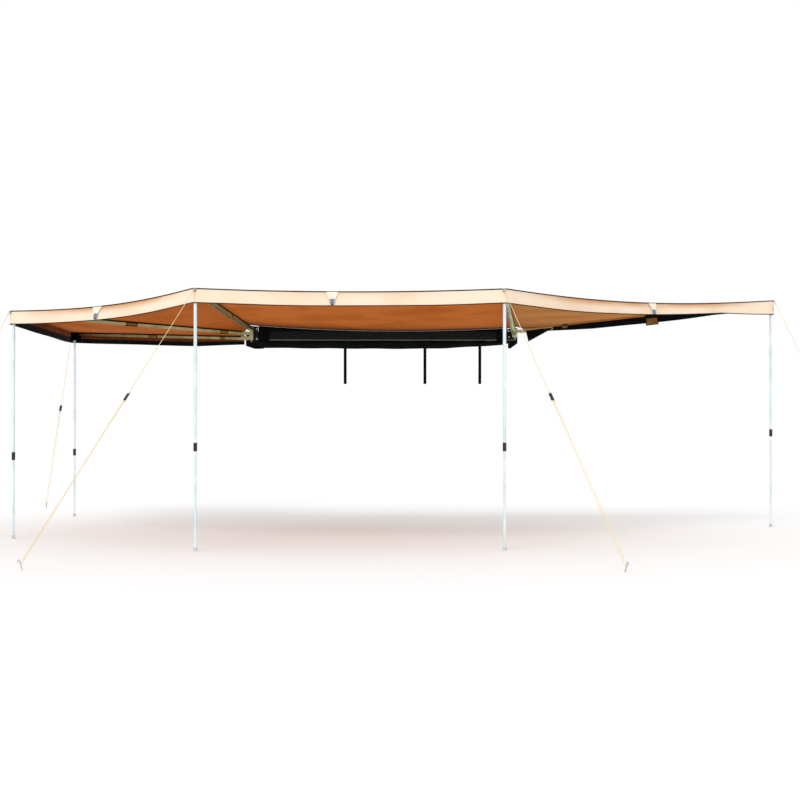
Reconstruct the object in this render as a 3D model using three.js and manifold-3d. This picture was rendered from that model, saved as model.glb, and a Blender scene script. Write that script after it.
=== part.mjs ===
// A side awning that opens as two fans of cloth from one long rail.
// Lengths are millimetres. +X runs forwards along the rail, +Y inboard, +Z up.
// The origin is under the foot of the middle bracket, on the face that it rests on.
import * as THREE from "three";
import { mergeVertices } from "three/addons/utils/BufferGeometryUtils.js";
import Module from "manifold-3d";

const wasm = await Module();
wasm.setup();
const degree = Math.PI / 180;

// Clearances shared by every fit.
const restGap = 0.3;
const cutOverrun = 2;
const weldOverlap = 0.5;
const clothClearance = 1.2;

// How many flat sides stand in for each kind of round.
const knuckleSides = 16;
const tubeSides = 12;
const nutSides = 6;
const pinSides = 10;
const ropeSides = 8;
const ringSides = 10;
const wireSides = 5;
const earSteps = 10;
const slotSteps = 4;
const cornerSteps = 3;

// The stance: how high the awning hangs and how its hubs stand.
const groundDrop = 1555;
const hubSpan = 2240;
const hubLift = 80;
const frontHubSetout = 45;
const hubClearance = 36;

// The arms: channels of folded sheet on stacked knuckles.
const armReach = 2150;
const armStep = 64;
const levelPitch = 38;
const channelWidth = 34;
const channelHeight = 32;
const channelWall = 1.75;
const channelCorner = 4;
const rakeStart = 46;
const knuckleRadius = 19;
const knuckleLength = 74;
const neckWidth = 27;
const neckHeight = 26;
const neckReach = 64;
const tongueDrop = 11;
const legPinDepth = 16.5;
const legPinRadius = 4;
const legPinHead = 2;
const channelEnd = 14;

// The hub: a fork with two ears round one upright pin.
const hubPinRadius = 6;
const hubPinHeadRadius = 12;
const hubPinHead = 4;
const hubNutRadius = 9;
const hubNutHeight = 7;
const earThickness = 5;
const earRadius = 24;
const hubPlateThickness = 5;
const hubPlateWidth = 64;
const hubPlateOffset = 22;

// The legs: two tubes, one in the other, with a twist collar between them.
const tubeRadius = 12;
const tubeWall = 1.2;
const innerTubeRadius = 10;
const upperLegLength = 1090;
const lowerLegLength = 1000;
const headWidth = 26;
const collarLength = 60;
const collarRadius = 14.25;
const collarFlute = 0.9;
const collarFlutes = 8;
const collarGrip = 26;
const collarFluteSteps = 3;
const footRadius = 14;
const footHeight = 26;
const footChamfer = 3;
const footShoulder = 1;

// The cloth and its valance.
const clothThickness = 1.5;
const clothLift = 0.4;
const clothEdge = 22.5;
const clothStart = 70;
const clothSeamGap = 0.5;
const clothNotch = 7;
const clothNotchStart = 10;
const valanceDrop = 98;
const valanceShares = [0.5, 1];
const hubCoverLength = 540;
const railCornerOut = 38;
const middleCells = 14;
const endValanceStart = 150;
const railClothGap = 3;
const sideSag = 22;
const fanSag = 0.013;
const fanPullIn = 0.06;
const shortFanCells = 10;
const longFanCells = 14;

// The shares of an arm's length at which the cloth has its rows.
const rowShares = [0, 0.12, 0.26, 0.42, 0.58, 0.72, 0.84, 0.93];

// The corner fitting on the end of each arm.
const capPlate = 4;
const capTongue = 1.2;
const capNeckWidth = 10;
const capNeckLength = 6;
const capHoodWidth = 24;
const capHoodThickness = 3;
const capHoodReach = 12;
const capLipDrop = 18;
const capEyeRadius = 5;
const capEyeWire = 1.6;

// The rail, its keder strip, its brackets and the bag under it.
const railHeight = 76;
const railDepth = 30;
const railBase = 24;
const railWall = 3;
const railLip = 4;
const railEndMargin = 10;
const kederThickness = 1.5;
const kederGrooveDepth = 9;
const kederInset = 7;
const slotMouth = 9;
const slotWidth = 16;
const slotDepth = 7;
const bracketWidth = 50;
const bracketPlate = 5;
const bracketFoot = 80;
const bracketHeight = 84;
const bracketSpread = 850;
const bracketSlotWidth = 9;
const bracketSlotLength = 22;
const bracketSlotPlace = 12.5;
const bracketSlotInset = 13;
const bracketGusset = 10;
const bagDepth = 26;
const bagSeam = 4;
const bagStations = 16;
const bagRingPoints = 12;
const bagRipples = 5;
const bagSlackShare = 0.12;
const bagFullShare = 0.7;
const bagEndInset = 60;
const strapWidth = 25;
const strapThickness = 1.5;
const strapLength = 372;
const strapCurl = 8;
const strapSteps = 8;

// The bag's height from its rear end to its front end, where it thins out.
const bagHeights = [62, 66, 68, 70, 72, 72, 66, 50, 34];

// The flaps on the two end arms: the side they hang on, and how much of the drop they have
// from near the hub to the tip.
const endValances = {
  tail: { side: -1, shares: [0.72, 0.97, 1, 1, 1] },
  nose: { side: 1, shares: [0.3, 0.62, 0.7, 0.78, 1] },
};

// Where the loose straps hang, as shares of half the hub span.
const strapShares = { rear: -0.29, middle: 0.32, front: 0.74 };

// The guy ropes, their sliders and their pegs.
const ropeRadius = 2;
const strandGap = 16;
const sliderStrandAt = 5;
const sliderShare = 0.42;
const strandShares = [0, 0.25, 0.5, 0.75, 1];
const loopTurns = [30, 60, 90, 120, 150];
const sliderLength = 58;
const sliderWidth = 22;
const sliderThickness = 7;
const sliderWaist = 7.3;
const sliderWaistOut = 5.3;
const pegRadius = 3.5;
const pegLength = 230;
const pegShow = 38;
const pegHook = 16;
const pegLean = 20 * degree;
const hookTurns = [45, 90, 135, 180];
const sideStakeOut = 1460;
const tailStakeOut = 1140;
const endStakeOut = 880;

// Where each arm stands. Level counts pitches above the hub's middle, rank counts steps shorter.
// An arm that covers its hub carries cloth that first rises over the fork.
const armPlans = {
  side_rear: {
    hub: "rear",
    level: 1,
    rank: 0,
    bearing: -95 * degree,
    rake: 4 * degree,
    stakeOut: sideStakeOut,
    stakeTurn: -34 * degree,
    coversHub: false,
  },
  rear: {
    hub: "rear",
    level: 0,
    rank: 1,
    bearing: -145 * degree,
    rake: 2.5 * degree,
    stakeOut: endStakeOut,
    stakeTurn: -8 * degree,
    coversHub: false,
  },
  tail: {
    hub: "rear",
    level: -1,
    rank: 2,
    bearing: -211 * degree,
    rake: 2.5 * degree,
    stakeOut: tailStakeOut,
    stakeTurn: -34 * degree,
    coversHub: false,
  },
  side_front: {
    hub: "front",
    level: -0.5,
    rank: 1,
    bearing: -97 * degree,
    rake: 5.7 * degree,
    stakeOut: sideStakeOut,
    stakeTurn: 33 * degree,
    coversHub: true,
  },
  nose: {
    hub: "front",
    level: 0.5,
    rank: 0,
    bearing: -3 * degree,
    rake: 6.2 * degree,
    stakeOut: endStakeOut,
    stakeTurn: -14 * degree,
    coversHub: false,
  },
};

// Places worked out from the sizes above.
const railBack = -bracketFoot / 2 - restGap;
const railFront = railBack - railDepth;
const railTop = railBase + railHeight;
const rearHubY = railFront - hubClearance;
const hubs = {
  rear: { x: -hubSpan / 2, y: rearHubY, levels: 3, side: 1 },
  front: { x: hubSpan / 2, y: rearHubY - frontHubSetout, levels: 2, side: -1 },
};
const groundZ = -groundDrop;
const kederY = railFront + kederInset;
const bagY = (railFront + railBack) / 2;
for (const hub of Object.values(hubs)) {
  hub.stackHalf = (hub.levels * levelPitch) / 2;
  hub.earTop = hubLift + hub.stackHalf + restGap + earThickness;
  hub.pinTop = hub.earTop + restGap + hubPinHead;
}

// Materials by what each piece is made of.
function finish(color, roughness, metalness) {
  return new THREE.MeshStandardMaterial({ color, roughness, metalness });
}
const finishes = {
  aluminium: finish(0xc9cdc8, 0.35, 0.9),
  tube: finish(0xe6ebec, 0.4, 0.7),
  steelBlack: finish(0x16181b, 0.55, 0.3),
  zinc: finish(0xb9bcc0, 0.4, 0.9),
  plastic: finish(0x15191c, 0.6, 0),
  capPlastic: finish(0x7f93a8, 0.5, 0),
  rubber: finish(0x24272a, 0.85, 0),
  canvas: finish(0xe9d3b4, 0.9, 0),
  bag: finish(0x14161a, 0.85, 0),
  webbing: finish(0x121316, 0.9, 0),
  rope: finish(0xe0c080, 0.8, 0),
};

// A closed geometry as a solid that can be joined and cut.
function solid(geometry) {
  const bare = geometry.index ? geometry : geometry.clone();
  bare.deleteAttribute("normal");
  bare.deleteAttribute("uv");
  const merged = mergeVertices(bare, 1e-4);
  return new wasm.Manifold(
    new wasm.Mesh({
      numProp: 3,
      vertProperties: new Float32Array(merged.attributes.position.array),
      triVerts: new Uint32Array(merged.index.array),
    }),
  );
}

function geometryOf(made) {
  const mesh = made.getMesh();
  const geometry = new THREE.BufferGeometry();
  geometry.setAttribute("position", new THREE.BufferAttribute(mesh.vertProperties, 3));
  geometry.setIndex(new THREE.BufferAttribute(mesh.triVerts, 1));
  geometry.computeVertexNormals();
  return geometry;
}

function join(...pieces) {
  return pieces.reduce((whole, piece) => whole.add(piece));
}

// A box from its lowest corner to its highest.
function block(low, high) {
  const size = high.map((value, i) => value - low[i]);
  const geometry = new THREE.BoxGeometry(...size);
  geometry.translate(...low.map((value, i) => value + size[i] / 2));
  return solid(geometry);
}

// An upright round bar from its foot, or one turned to lie along X or Y.
function bar(radius, length, sides, axis = "z") {
  const geometry = new THREE.CylinderGeometry(radius, radius, length, sides);
  if (axis === "z") geometry.rotateX(Math.PI / 2);
  if (axis === "x") geometry.rotateZ(Math.PI / 2);
  return solid(geometry);
}

// The radius of a faceted bore whose flats lie at the wanted radius.
function boreRound(radius, sides) {
  return radius / Math.cos(Math.PI / sides);
}

// A profile drawn in X and Y and pulled up along Z.
function pull(shape, depth, curveSegments = slotSteps) {
  return solid(new THREE.ExtrudeGeometry(shape, { depth, bevelEnabled: false, curveSegments }));
}

// A profile drawn in Y and Z and pulled along X from a start.
function pullAlongX(shape, start, length, curveSegments = cornerSteps) {
  const geometry = new THREE.ExtrudeGeometry(shape, {
    depth: length,
    bevelEnabled: false,
    curveSegments,
  });
  geometry.applyMatrix4(
    new THREE.Matrix4().makeBasis(
      new THREE.Vector3(0, 1, 0),
      new THREE.Vector3(0, 0, 1),
      new THREE.Vector3(1, 0, 0),
    ),
  );
  geometry.translate(start, 0, 0);
  return solid(geometry);
}

// A profile of radius and height turned about Z. It starts and ends on the axis or closes on itself.
function turned(profile, sides) {
  const points = profile.map(([radius, height]) => new THREE.Vector2(radius, height));
  const geometry = new THREE.LatheGeometry(points, sides);
  geometry.rotateX(Math.PI / 2);
  return solid(geometry);
}

function outline(points) {
  return new THREE.Shape(points.map(([x, y]) => new THREE.Vector2(x, y)));
}

// Rows of points for an outer and an inner face, closed all round into one thin solid.
function sheetSolid(outer, inner) {
  const rows = outer.length;
  const columns = outer[0].length;
  const positions = [];
  for (const face of [outer, inner]) {
    for (const row of face) for (const point of row) positions.push(point.x, point.y, point.z);
  }
  const at = (face, row, column) => (face * rows + row) * columns + column;
  const triangles = [];
  const quad = (a, b, c, d) => triangles.push(a, b, c, a, c, d);
  for (let row = 0; row + 1 < rows; row++) {
    for (let column = 0; column + 1 < columns; column++) {
      const [r, c] = [row + 1, column + 1];
      quad(at(0, row, column), at(0, r, column), at(0, r, c), at(0, row, c));
      quad(at(1, row, column), at(1, row, c), at(1, r, c), at(1, r, column));
    }
    const [r, last] = [row + 1, columns - 1];
    quad(at(0, row, 0), at(1, row, 0), at(1, r, 0), at(0, r, 0));
    quad(at(0, row, last), at(0, r, last), at(1, r, last), at(1, row, last));
  }
  for (let column = 0; column + 1 < columns; column++) {
    const [last, c] = [rows - 1, column + 1];
    quad(at(0, 0, column), at(0, 0, c), at(1, 0, c), at(1, 0, column));
    quad(at(0, last, column), at(1, last, column), at(1, last, c), at(0, last, c));
  }
  return facingOut(positions, triangles);
}

// A round tube through a list of points, with flat ends.
function tubeThrough(points, radius, sides) {
  const positions = [];
  const normal = new THREE.Vector3();
  let tangent = new THREE.Vector3().subVectors(points[1], points[0]).normalize();
  normal.crossVectors(tangent, new THREE.Vector3(0, 1, 0)).normalize();
  points.forEach((point, i) => {
    const before = points[Math.max(i - 1, 0)];
    const after = points[Math.min(i + 1, points.length - 1)];
    const next = new THREE.Vector3().subVectors(after, before).normalize();
    normal.applyQuaternion(new THREE.Quaternion().setFromUnitVectors(tangent, next));
    tangent = next;
    const side = new THREE.Vector3().crossVectors(tangent, normal);
    for (let k = 0; k < sides; k++) {
      const turn = (2 * Math.PI * k) / sides;
      const spoke = normal.clone().multiplyScalar(radius * Math.cos(turn));
      spoke.addScaledVector(side, radius * Math.sin(turn)).add(point);
      positions.push(spoke.x, spoke.y, spoke.z);
    }
  });
  const triangles = [];
  for (let i = 0; i + 1 < points.length; i++) {
    for (let k = 0; k < sides; k++) {
      const next = (k + 1) % sides;
      const [a, b] = [i * sides + k, i * sides + next];
      const [c, d] = [a + sides, b + sides];
      triangles.push(a, b, d, a, d, c);
    }
  }
  const last = (points.length - 1) * sides;
  for (let k = 1; k + 1 < sides; k++) {
    triangles.push(0, k + 1, k);
    triangles.push(last, last + k, last + k + 1);
  }
  return facingOut(positions, triangles);
}

// Turns a closed surface so that its faces point out.
function facingOut(positions, triangles) {
  const corner = (i) => new THREE.Vector3().fromArray(positions, 3 * i);
  let volume = 0;
  for (let i = 0; i < triangles.length; i += 3) {
    const [a, b, c] = triangles.slice(i, i + 3).map(corner);
    volume += a.dot(b.cross(c));
  }
  if (volume < 0) {
    for (let i = 0; i < triangles.length; i += 3) {
      [triangles[i + 1], triangles[i + 2]] = [triangles[i + 2], triangles[i + 1]];
    }
  }
  return new wasm.Manifold(
    new wasm.Mesh({
      numProp: 3,
      vertProperties: new Float32Array(positions),
      triVerts: new Uint32Array(triangles),
    }),
  );
}

const awning = new THREE.Group();

// Adds one named piece to a group.
function add(group, name, made, material) {
  const mesh = new THREE.Mesh(geometryOf(made), material);
  mesh.name = name;
  group.add(mesh);
  return mesh;
}

// The long aluminium rail: a hollow extrusion with a bolt slot behind and a keder groove on top.
function railSolid() {
  const [front, back] = [railFront, railBack];
  const middle = railBase + railHeight / 2;
  const slotLow = middle - slotMouth / 2;
  const slotHigh = middle + slotMouth / 2;
  const grooveHalf = kederThickness / 2 + restGap;
  const shape = outline([
    [front - railLip, railBase],
    [back, railBase],
    [back, slotLow],
    [back - railWall, slotLow],
    [back - railWall, middle - slotWidth / 2],
    [back - slotDepth, middle - slotWidth / 2],
    [back - slotDepth, middle + slotWidth / 2],
    [back - railWall, middle + slotWidth / 2],
    [back - railWall, slotHigh],
    [back, slotHigh],
    [back, railTop],
    [kederY + grooveHalf, railTop],
    [kederY + grooveHalf, railTop - kederGrooveDepth],
    [kederY - grooveHalf, railTop - kederGrooveDepth],
    [kederY - grooveHalf, railTop],
    [front, railTop],
    [front, railBase + 2 * railLip],
    [front - railLip, railBase + railLip],
  ]);
  const chamberTop = railTop - kederGrooveDepth - railWall;
  const chamber = new THREE.Path(
    [
      [front + railWall, railBase + railWall],
      [back - slotDepth - railWall, railBase + railWall],
      [back - slotDepth - railWall, chamberTop],
      [front + railWall, chamberTop],
    ].map(([y, z]) => new THREE.Vector2(y, z)),
  );
  shape.holes.push(chamber);
  return pullAlongX(shape, -hubSpan / 2 - railEndMargin, hubSpan + 2 * railEndMargin);
}

// An angle bracket: its foot lies on a carrier bar and its upright bolts to the rail's slot.
function rackBracketSolid() {
  const inner = -bracketFoot / 2;
  const shape = outline([
    [inner, 0],
    [bracketFoot / 2, 0],
    [bracketFoot / 2, bracketPlate],
    [inner + bracketPlate + bracketGusset, bracketPlate],
    [inner + bracketPlate, bracketPlate + bracketGusset],
    [inner + bracketPlate, bracketHeight],
    [inner, bracketHeight],
  ]);
  let made = pullAlongX(shape, -bracketWidth / 2, bracketWidth);
  const run = bracketSlotLength - bracketSlotWidth;
  for (const side of [-1, 1]) {
    const slot = new THREE.Shape();
    slot.absarc(0, run / 2, bracketSlotWidth / 2, 0, Math.PI);
    slot.absarc(0, -run / 2, bracketSlotWidth / 2, Math.PI, 2 * Math.PI);
    const cutter = pull(slot, bracketPlate + 2 * cutOverrun);
    const slotAt = [side * bracketSlotPlace, bracketSlotInset, -cutOverrun];
    made = made.subtract(cutter.translate(slotAt));
    const hole = bar(bracketSlotWidth / 2, bracketPlate + 2 * cutOverrun, pinSides, "y");
    const place = [side * bracketSlotPlace, inner + bracketPlate / 2, railBase + railHeight / 2];
    made = made.subtract(hole.translate(place));
  }
  return made;
}

// The hub's fork: a plate on the rail's face with two ears that reach out to the pin.
function hubBracketSolid(hub) {
  const plateFace = railFront - railLip - restGap;
  const plateMiddle = hub.side * hubPlateOffset;
  const left = plateMiddle - hubPlateWidth / 2;
  const right = plateMiddle + hubPlateWidth / 2;
  const reach = plateFace - hub.y;
  const ear = new THREE.Shape();
  ear.moveTo(right, reach);
  ear.lineTo(left, reach);
  ear.absarc(0, 0, earRadius, Math.PI, 2 * Math.PI);
  ear.closePath();
  const half = hub.stackHalf + restGap;
  const lower = pull(ear, earThickness, earSteps).translate([0, 0, -half - earThickness]);
  const upper = pull(ear, earThickness, earSteps).translate([0, 0, half]);
  const plate = block(
    [left, reach - hubPlateThickness, -half - earThickness],
    [right, reach, half + earThickness],
  );
  const boreRadius = boreRound(hubPinRadius + restGap, tubeSides);
  const bore = bar(boreRadius, 2 * (half + earThickness + cutOverrun), tubeSides);
  return join(plate, lower, upper).subtract(bore);
}

// The hub pin: a turned shank with a broad head above the fork and a nut below it.
function hubPinSolid(hub) {
  const half = hub.stackHalf + restGap + earThickness + restGap;
  const shank = turned(
    [
      [0, -half - hubNutHeight],
      [hubPinRadius, -half - hubNutHeight],
      [hubPinRadius, half],
      [hubPinHeadRadius, half],
      [hubPinHeadRadius, half + hubPinHead / 2],
      [hubPinHeadRadius - hubPinHead / 2, half + hubPinHead],
      [0, half + hubPinHead],
    ],
    tubeSides,
  );
  const nut = bar(hubNutRadius, hubNutHeight, nutSides).translate([0, 0, -half - hubNutHeight / 2]);
  return join(shank, nut);
}

// How far out the leg pin of an arm stands from its hub pin.
function reachOf(plan) {
  return armReach - plan.rank * armStep;
}

// The height of the top of an arm at a distance from its hub pin.
function armTop(plan, radius) {
  const rise = Math.tan(plan.rake) * Math.max(radius - rakeStart, 0);
  const base = hubLift + plan.level * levelPitch;
  return base + rise + channelHeight / 2 / Math.cos(plan.rake);
}

// Turns a piece drawn along an arm's channel up to the arm's rake.
function raked(plan, made) {
  const turnedPiece = made.rotate([0, -plan.rake / degree, 0]);
  return turnedPiece.translate([rakeStart, 0, 0]);
}

// The distance along the channel to its leg pin.
function pinAlong(plan) {
  return (reachOf(plan) - rakeStart) / Math.cos(plan.rake);
}

// The channel's open section, seen along the arm, with rounded shoulders.
function channelShape() {
  const [half, high] = [channelWidth / 2, channelHeight / 2];
  const innerHalf = half - channelWall;
  const shape = new THREE.Shape();
  shape.moveTo(-half, -high);
  shape.lineTo(-innerHalf, -high);
  shape.lineTo(-innerHalf, high - channelWall);
  shape.lineTo(innerHalf, high - channelWall);
  shape.lineTo(innerHalf, -high);
  shape.lineTo(half, -high);
  shape.lineTo(half, high - channelCorner);
  shape.absarc(half - channelCorner, high - channelCorner, channelCorner, 0, Math.PI / 2);
  shape.lineTo(-half + channelCorner, high);
  shape.absarc(-half + channelCorner, high - channelCorner, channelCorner, Math.PI / 2, Math.PI);
  shape.closePath();
  return shape;
}

// An arm: the channel, its knuckle round the hub pin, and the pin that carries its leg.
function armSolid(plan) {
  const along = pinAlong(plan);
  const channel = pullAlongX(channelShape(), 0, along + channelEnd);
  const innerHalf = channelWidth / 2 - channelWall + weldOverlap;
  const top = channelHeight / 2 - channelWall + weldOverlap;
  const tongue = block([-weldOverlap, -innerHalf, -tongueDrop], [knuckleLength, innerHalf, top]);
  const pin = bar(legPinRadius, channelWidth + 2 * legPinHead, pinSides, "y");
  const drop = channelHeight / 2 - legPinDepth;
  const rakedPieces = raked(plan, join(channel, tongue, pin.translate([along, 0, drop])));
  const eye = bar(knuckleRadius, levelPitch - 2 * restGap, knuckleSides);
  const neck = block(
    [0, -neckWidth / 2, -neckHeight / 2],
    [neckReach, neckWidth / 2, neckHeight / 2],
  );
  const boreRadius = boreRound(hubPinRadius + restGap, tubeSides);
  const bore = bar(boreRadius, levelPitch + 2 * cutOverrun, tubeSides);
  return join(rakedPieces, eye, neck).subtract(bore);
}

// The moulded fitting on an arm's end: a plug, a neck up through the cloth, a hood with a lip, and an eye.
function cornerCapSolid(plan) {
  const end = pinAlong(plan) + channelEnd;
  const [half, high] = [channelWidth / 2, channelHeight / 2];
  const face = end + restGap;
  const plate = block([face, -half, -high], [face + capPlate, half, high]);
  const tongueHalf = half - channelWall - restGap;
  const tongue = block(
    [end - capTongue, -tongueHalf, -high + channelWall],
    [face + weldOverlap, tongueHalf, high - channelWall - restGap],
  );
  const hoodLow = high + clothLift + clothThickness + clothClearance;
  const neck = block(
    [face, -capNeckWidth / 2, high - weldOverlap],
    [face + capNeckLength, capNeckWidth / 2, hoodLow + weldOverlap],
  );
  const lipFace = face + capHoodReach;
  const outer = lipFace + capHoodThickness;
  const hoodOutline = new THREE.Shape();
  hoodOutline.moveTo(outer, -capHoodWidth / 2);
  hoodOutline.lineTo(outer, capHoodWidth / 2);
  hoodOutline.lineTo(face, capHoodWidth / 2);
  hoodOutline.absarc(face, 0, capHoodWidth / 2, Math.PI / 2, 2 * Math.PI - Math.PI / 2);
  hoodOutline.closePath();
  const hood = pull(hoodOutline, capHoodThickness).translate([0, 0, hoodLow]);
  const lip = block(
    [lipFace, -capHoodWidth / 2, hoodLow + capHoodThickness - capLipDrop],
    [outer, capHoodWidth / 2, hoodLow + weldOverlap],
  );
  const ring = new THREE.TorusGeometry(capEyeRadius, capEyeWire, wireSides, ringSides);
  ring.rotateX(Math.PI / 2);
  const eye = solid(ring).translate([outer + capEyeRadius - weldOverlap, 0, eyeHeight()]);
  return raked(plan, join(plate, tongue, neck, hood, lip, eye));
}

// The height of the rope's eye above the middle of the channel.
function eyeHeight() {
  const hoodLow = channelHeight / 2 + clothLift + clothThickness + clothClearance;
  return hoodLow + capHoodThickness - capLipDrop / 2;
}

// The distance along the channel to the middle of the rope's eye.
function eyeAlong(plan) {
  const face = pinAlong(plan) + channelEnd + restGap;
  return face + capHoodReach + capHoodThickness + capEyeRadius - weldOverlap;
}

// The upper leg, hung from its pin at the origin: a rounded head, and a tube open at its foot.
function upperLegSolid() {
  const head = bar(tubeRadius, headWidth, tubeSides, "y");
  const tube = bar(tubeRadius, upperLegLength, tubeSides).translate([0, 0, -upperLegLength / 2]);
  const hollow = upperLegLength - 3 * tubeRadius;
  const bore = bar(tubeRadius - tubeWall, hollow + cutOverrun, tubeSides);
  const holeRadius = boreRound(legPinRadius + restGap, pinSides);
  const pinHole = bar(holeRadius, headWidth + 2 * cutOverrun, pinSides, "y");
  const boreMiddle = -upperLegLength + (hollow - cutOverrun) / 2;
  return join(head, tube).subtract(bore.translate([0, 0, boreMiddle])).subtract(pinHole);
}

// How far the leg pin lies above the middle of its arm's knuckle.
function legPinRise(plan) {
  const drop = (legPinDepth - channelHeight / 2) / Math.cos(plan.rake);
  return Math.tan(plan.rake) * (reachOf(plan) - rakeStart) - drop;
}

// The height of the leg pin above the ground.
function legPinHeight(plan) {
  return hubLift + plan.level * levelPitch + legPinRise(plan) - groundZ;
}

// The lower leg: an open tube that slides in the upper one, on a chamfered foot.
function lowerLegSolid(plan) {
  const foot = turned(
    [
      [0, 0],
      [footRadius - footChamfer, 0],
      [footRadius, footChamfer],
      [footRadius, footHeight - 2 * footChamfer],
      [innerTubeRadius + footShoulder, footHeight],
      [0, footHeight],
    ],
    tubeSides,
  );
  const tube = bar(innerTubeRadius, lowerLegLength - weldOverlap, tubeSides);
  const bore = bar(innerTubeRadius - tubeWall, lowerLegLength, tubeSides);
  const lifted = join(foot, tube.translate([0, 0, (lowerLegLength + weldOverlap) / 2]));
  const hollow = bore.translate([0, 0, footHeight + lowerLegLength / 2]);
  return lifted.subtract(hollow).translate([0, 0, -legPinHeight(plan)]);
}

// The twist collar: a fluted grip over the upper tube that steps in to the lower tube.
function collarSolid() {
  const grip = new THREE.Shape();
  const turns = collarFluteSteps * collarFlutes;
  for (let k = 0; k < turns; k++) {
    const turn = (2 * Math.PI * k) / turns;
    const radius = collarRadius - (collarFlute / 2) * (1 - Math.cos(collarFlutes * turn));
    const point = [radius * Math.cos(turn), radius * Math.sin(turn)];
    if (k) grip.lineTo(...point);
    else grip.moveTo(...point);
  }
  grip.closePath();
  const plainLength = (collarLength - collarGrip) / 2;
  const fluted = pull(grip, collarGrip + 2 * weldOverlap);
  const upper = bar(collarRadius - collarFlute / 2, plainLength, tubeSides);
  const lower = turned(
    [
      [0, -plainLength],
      [collarRadius - 2 * collarFlute, -plainLength],
      [collarRadius - collarFlute / 2, 0],
      [0, 0],
    ],
    tubeSides,
  );
  const body = join(
    fluted.translate([0, 0, -collarGrip / 2 - weldOverlap]),
    upper.translate([0, 0, (collarGrip + plainLength) / 2]),
    lower.translate([0, 0, -collarGrip / 2]),
  );
  const boreRadius = boreRound(innerTubeRadius + restGap, tubeSides);
  const bore = bar(boreRadius, collarLength + 2 * cutOverrun, tubeSides);
  const seatRadius = boreRound(tubeRadius + restGap, tubeSides);
  const seatLength = collarLength / 2 + cutOverrun;
  const seat = bar(seatRadius, seatLength, tubeSides).translate([0, 0, seatLength / 2]);
  return body.subtract(bore).subtract(seat);
}

// A point of an arm's cloth line: out from the hub pin, to one side, and above the arm's top.
function clothPoint(plan, radius, side, lift = 0) {
  const hub = hubs[plan.hub];
  const [c, s] = [Math.cos(plan.bearing), Math.sin(plan.bearing)];
  const top = armTop(plan, radius) + clothLift + clothThickness + lift;
  return new THREE.Vector3(hub.x + radius * c - side * s, hub.y + radius * s + side * c, top);
}

// How far the cloth rides over the fork above an arm that lies low in its hub.
function clothOverHub(plan, radius) {
  if (!plan.coversHub) return 0;
  const needed = Math.max(railEdgeEnd(hubs[plan.hub]) - armTop(plan, clothStart), 0);
  const fade = Math.min((radius - clothStart) / hubCoverLength, 1);
  return needed * (1 - fade) ** 2;
}

// The rows of one panel's edge: distances from the hub pin with the seam's set-back at each.
function edgeRows(plan) {
  const end = reachOf(plan) + clothEdge;
  const notch = reachOf(plan) + clothNotchStart;
  const rows = rowShares.map((share) => ({
    radius: clothStart + share * (notch - clothStart),
    setBack: clothSeamGap,
  }));
  rows.push({ radius: notch - clothNotch, setBack: clothSeamGap });
  rows.push({ radius: notch, setBack: clothNotch });
  rows.push({ radius: end, setBack: clothNotch });
  return rows;
}

// The margin point at a share of an edge's length.
function marginAt(edge, share) {
  let row = 1;
  while (row + 1 < edge.length && edge[row].share < share) row++;
  const [before, after] = [edge[row - 1], edge[row]];
  const part = (share - before.share) / (after.share - before.share);
  return before.margin.clone().lerp(after.margin, part);
}

// Cloth between two edges. Each edge gives a seam point and a flat margin point in every row.
function panelSolid(left, right, cells, pullIn, sagAt) {
  const rows = left.length;
  const top = [];
  for (let row = 0; row < rows; row++) {
    const line = [left[row].seam];
    for (let cell = 0; cell <= cells; cell++) {
      const share = cell / cells;
      const bow = 4 * share * (1 - share);
      const depth = left[row].share;
      const pulled = depth * (1 - pullIn * bow * depth);
      const point = marginAt(left, pulled).lerp(marginAt(right, pulled), share);
      point.z -= sagAt(depth) * bow;
      line.push(point);
    }
    line.push(right[row].seam);
    top.push(line);
  }
  const edge = top[rows - 1];
  const chord = new THREE.Vector3().subVectors(edge[edge.length - 1], edge[0]).setZ(0).normalize();
  const out = new THREE.Vector3(-chord.y, chord.x, 0);
  const middle = new THREE.Vector3().subVectors(edge[Math.floor(edge.length / 2)], top[0][0]);
  if (out.dot(middle) < 0) out.negate();
  const under = top.map((line, row) =>
    line.map((point) => {
      const lower = point.clone();
      lower.z -= clothThickness;
      return row === rows - 1 ? lower.addScaledVector(out, -clothThickness) : lower;
    }),
  );
  for (const share of valanceShares) {
    const drop = share * valanceDrop;
    top.push(edge.map((point) => point.clone().setZ(point.z - drop)));
    under.push(
      edge.map((point) => point.clone().addScaledVector(out, -clothThickness).setZ(point.z - drop)),
    );
  }
  return sheetSolid(top, under);
}

// The seam and margin points of one arm's edge, on its left (1) or right (-1) side.
function armEdge(plan, side) {
  const margin = channelWidth / 2 + clothThickness;
  const end = reachOf(plan) + clothEdge;
  return edgeRows(plan).map(({ radius, setBack }) => {
    const lift = clothOverHub(plan, radius);
    return {
      share: (radius - clothStart) / (end - clothStart),
      seam: clothPoint(plan, radius, side * setBack, lift),
      margin: clothPoint(plan, radius, side * margin, lift),
    };
  });
}

// One fan of cloth from an arm to the next one clockwise.
function fanPanel(first, second, cells) {
  const left = armEdge(armPlans[first], -1);
  const right = armEdge(armPlans[second], 1);
  const span = left[left.length - 1].seam.distanceTo(right[right.length - 1].seam);
  return panelSolid(left, right, cells, fanPullIn, (share) => fanSag * span * share);
}

// The height of the middle panel's rail edge at the two hubs.
function railEdgeEnd(hub) {
  return hub.pinTop + clothThickness + clothClearance;
}

// How far the middle panel's rail edge dips between the hubs, to lie just over the rail.
function railSagDepth() {
  const ends = (railEdgeEnd(hubs.rear) + railEdgeEnd(hubs.front)) / 2;
  return ends - railTop - railClothGap - clothThickness;
}

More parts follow.
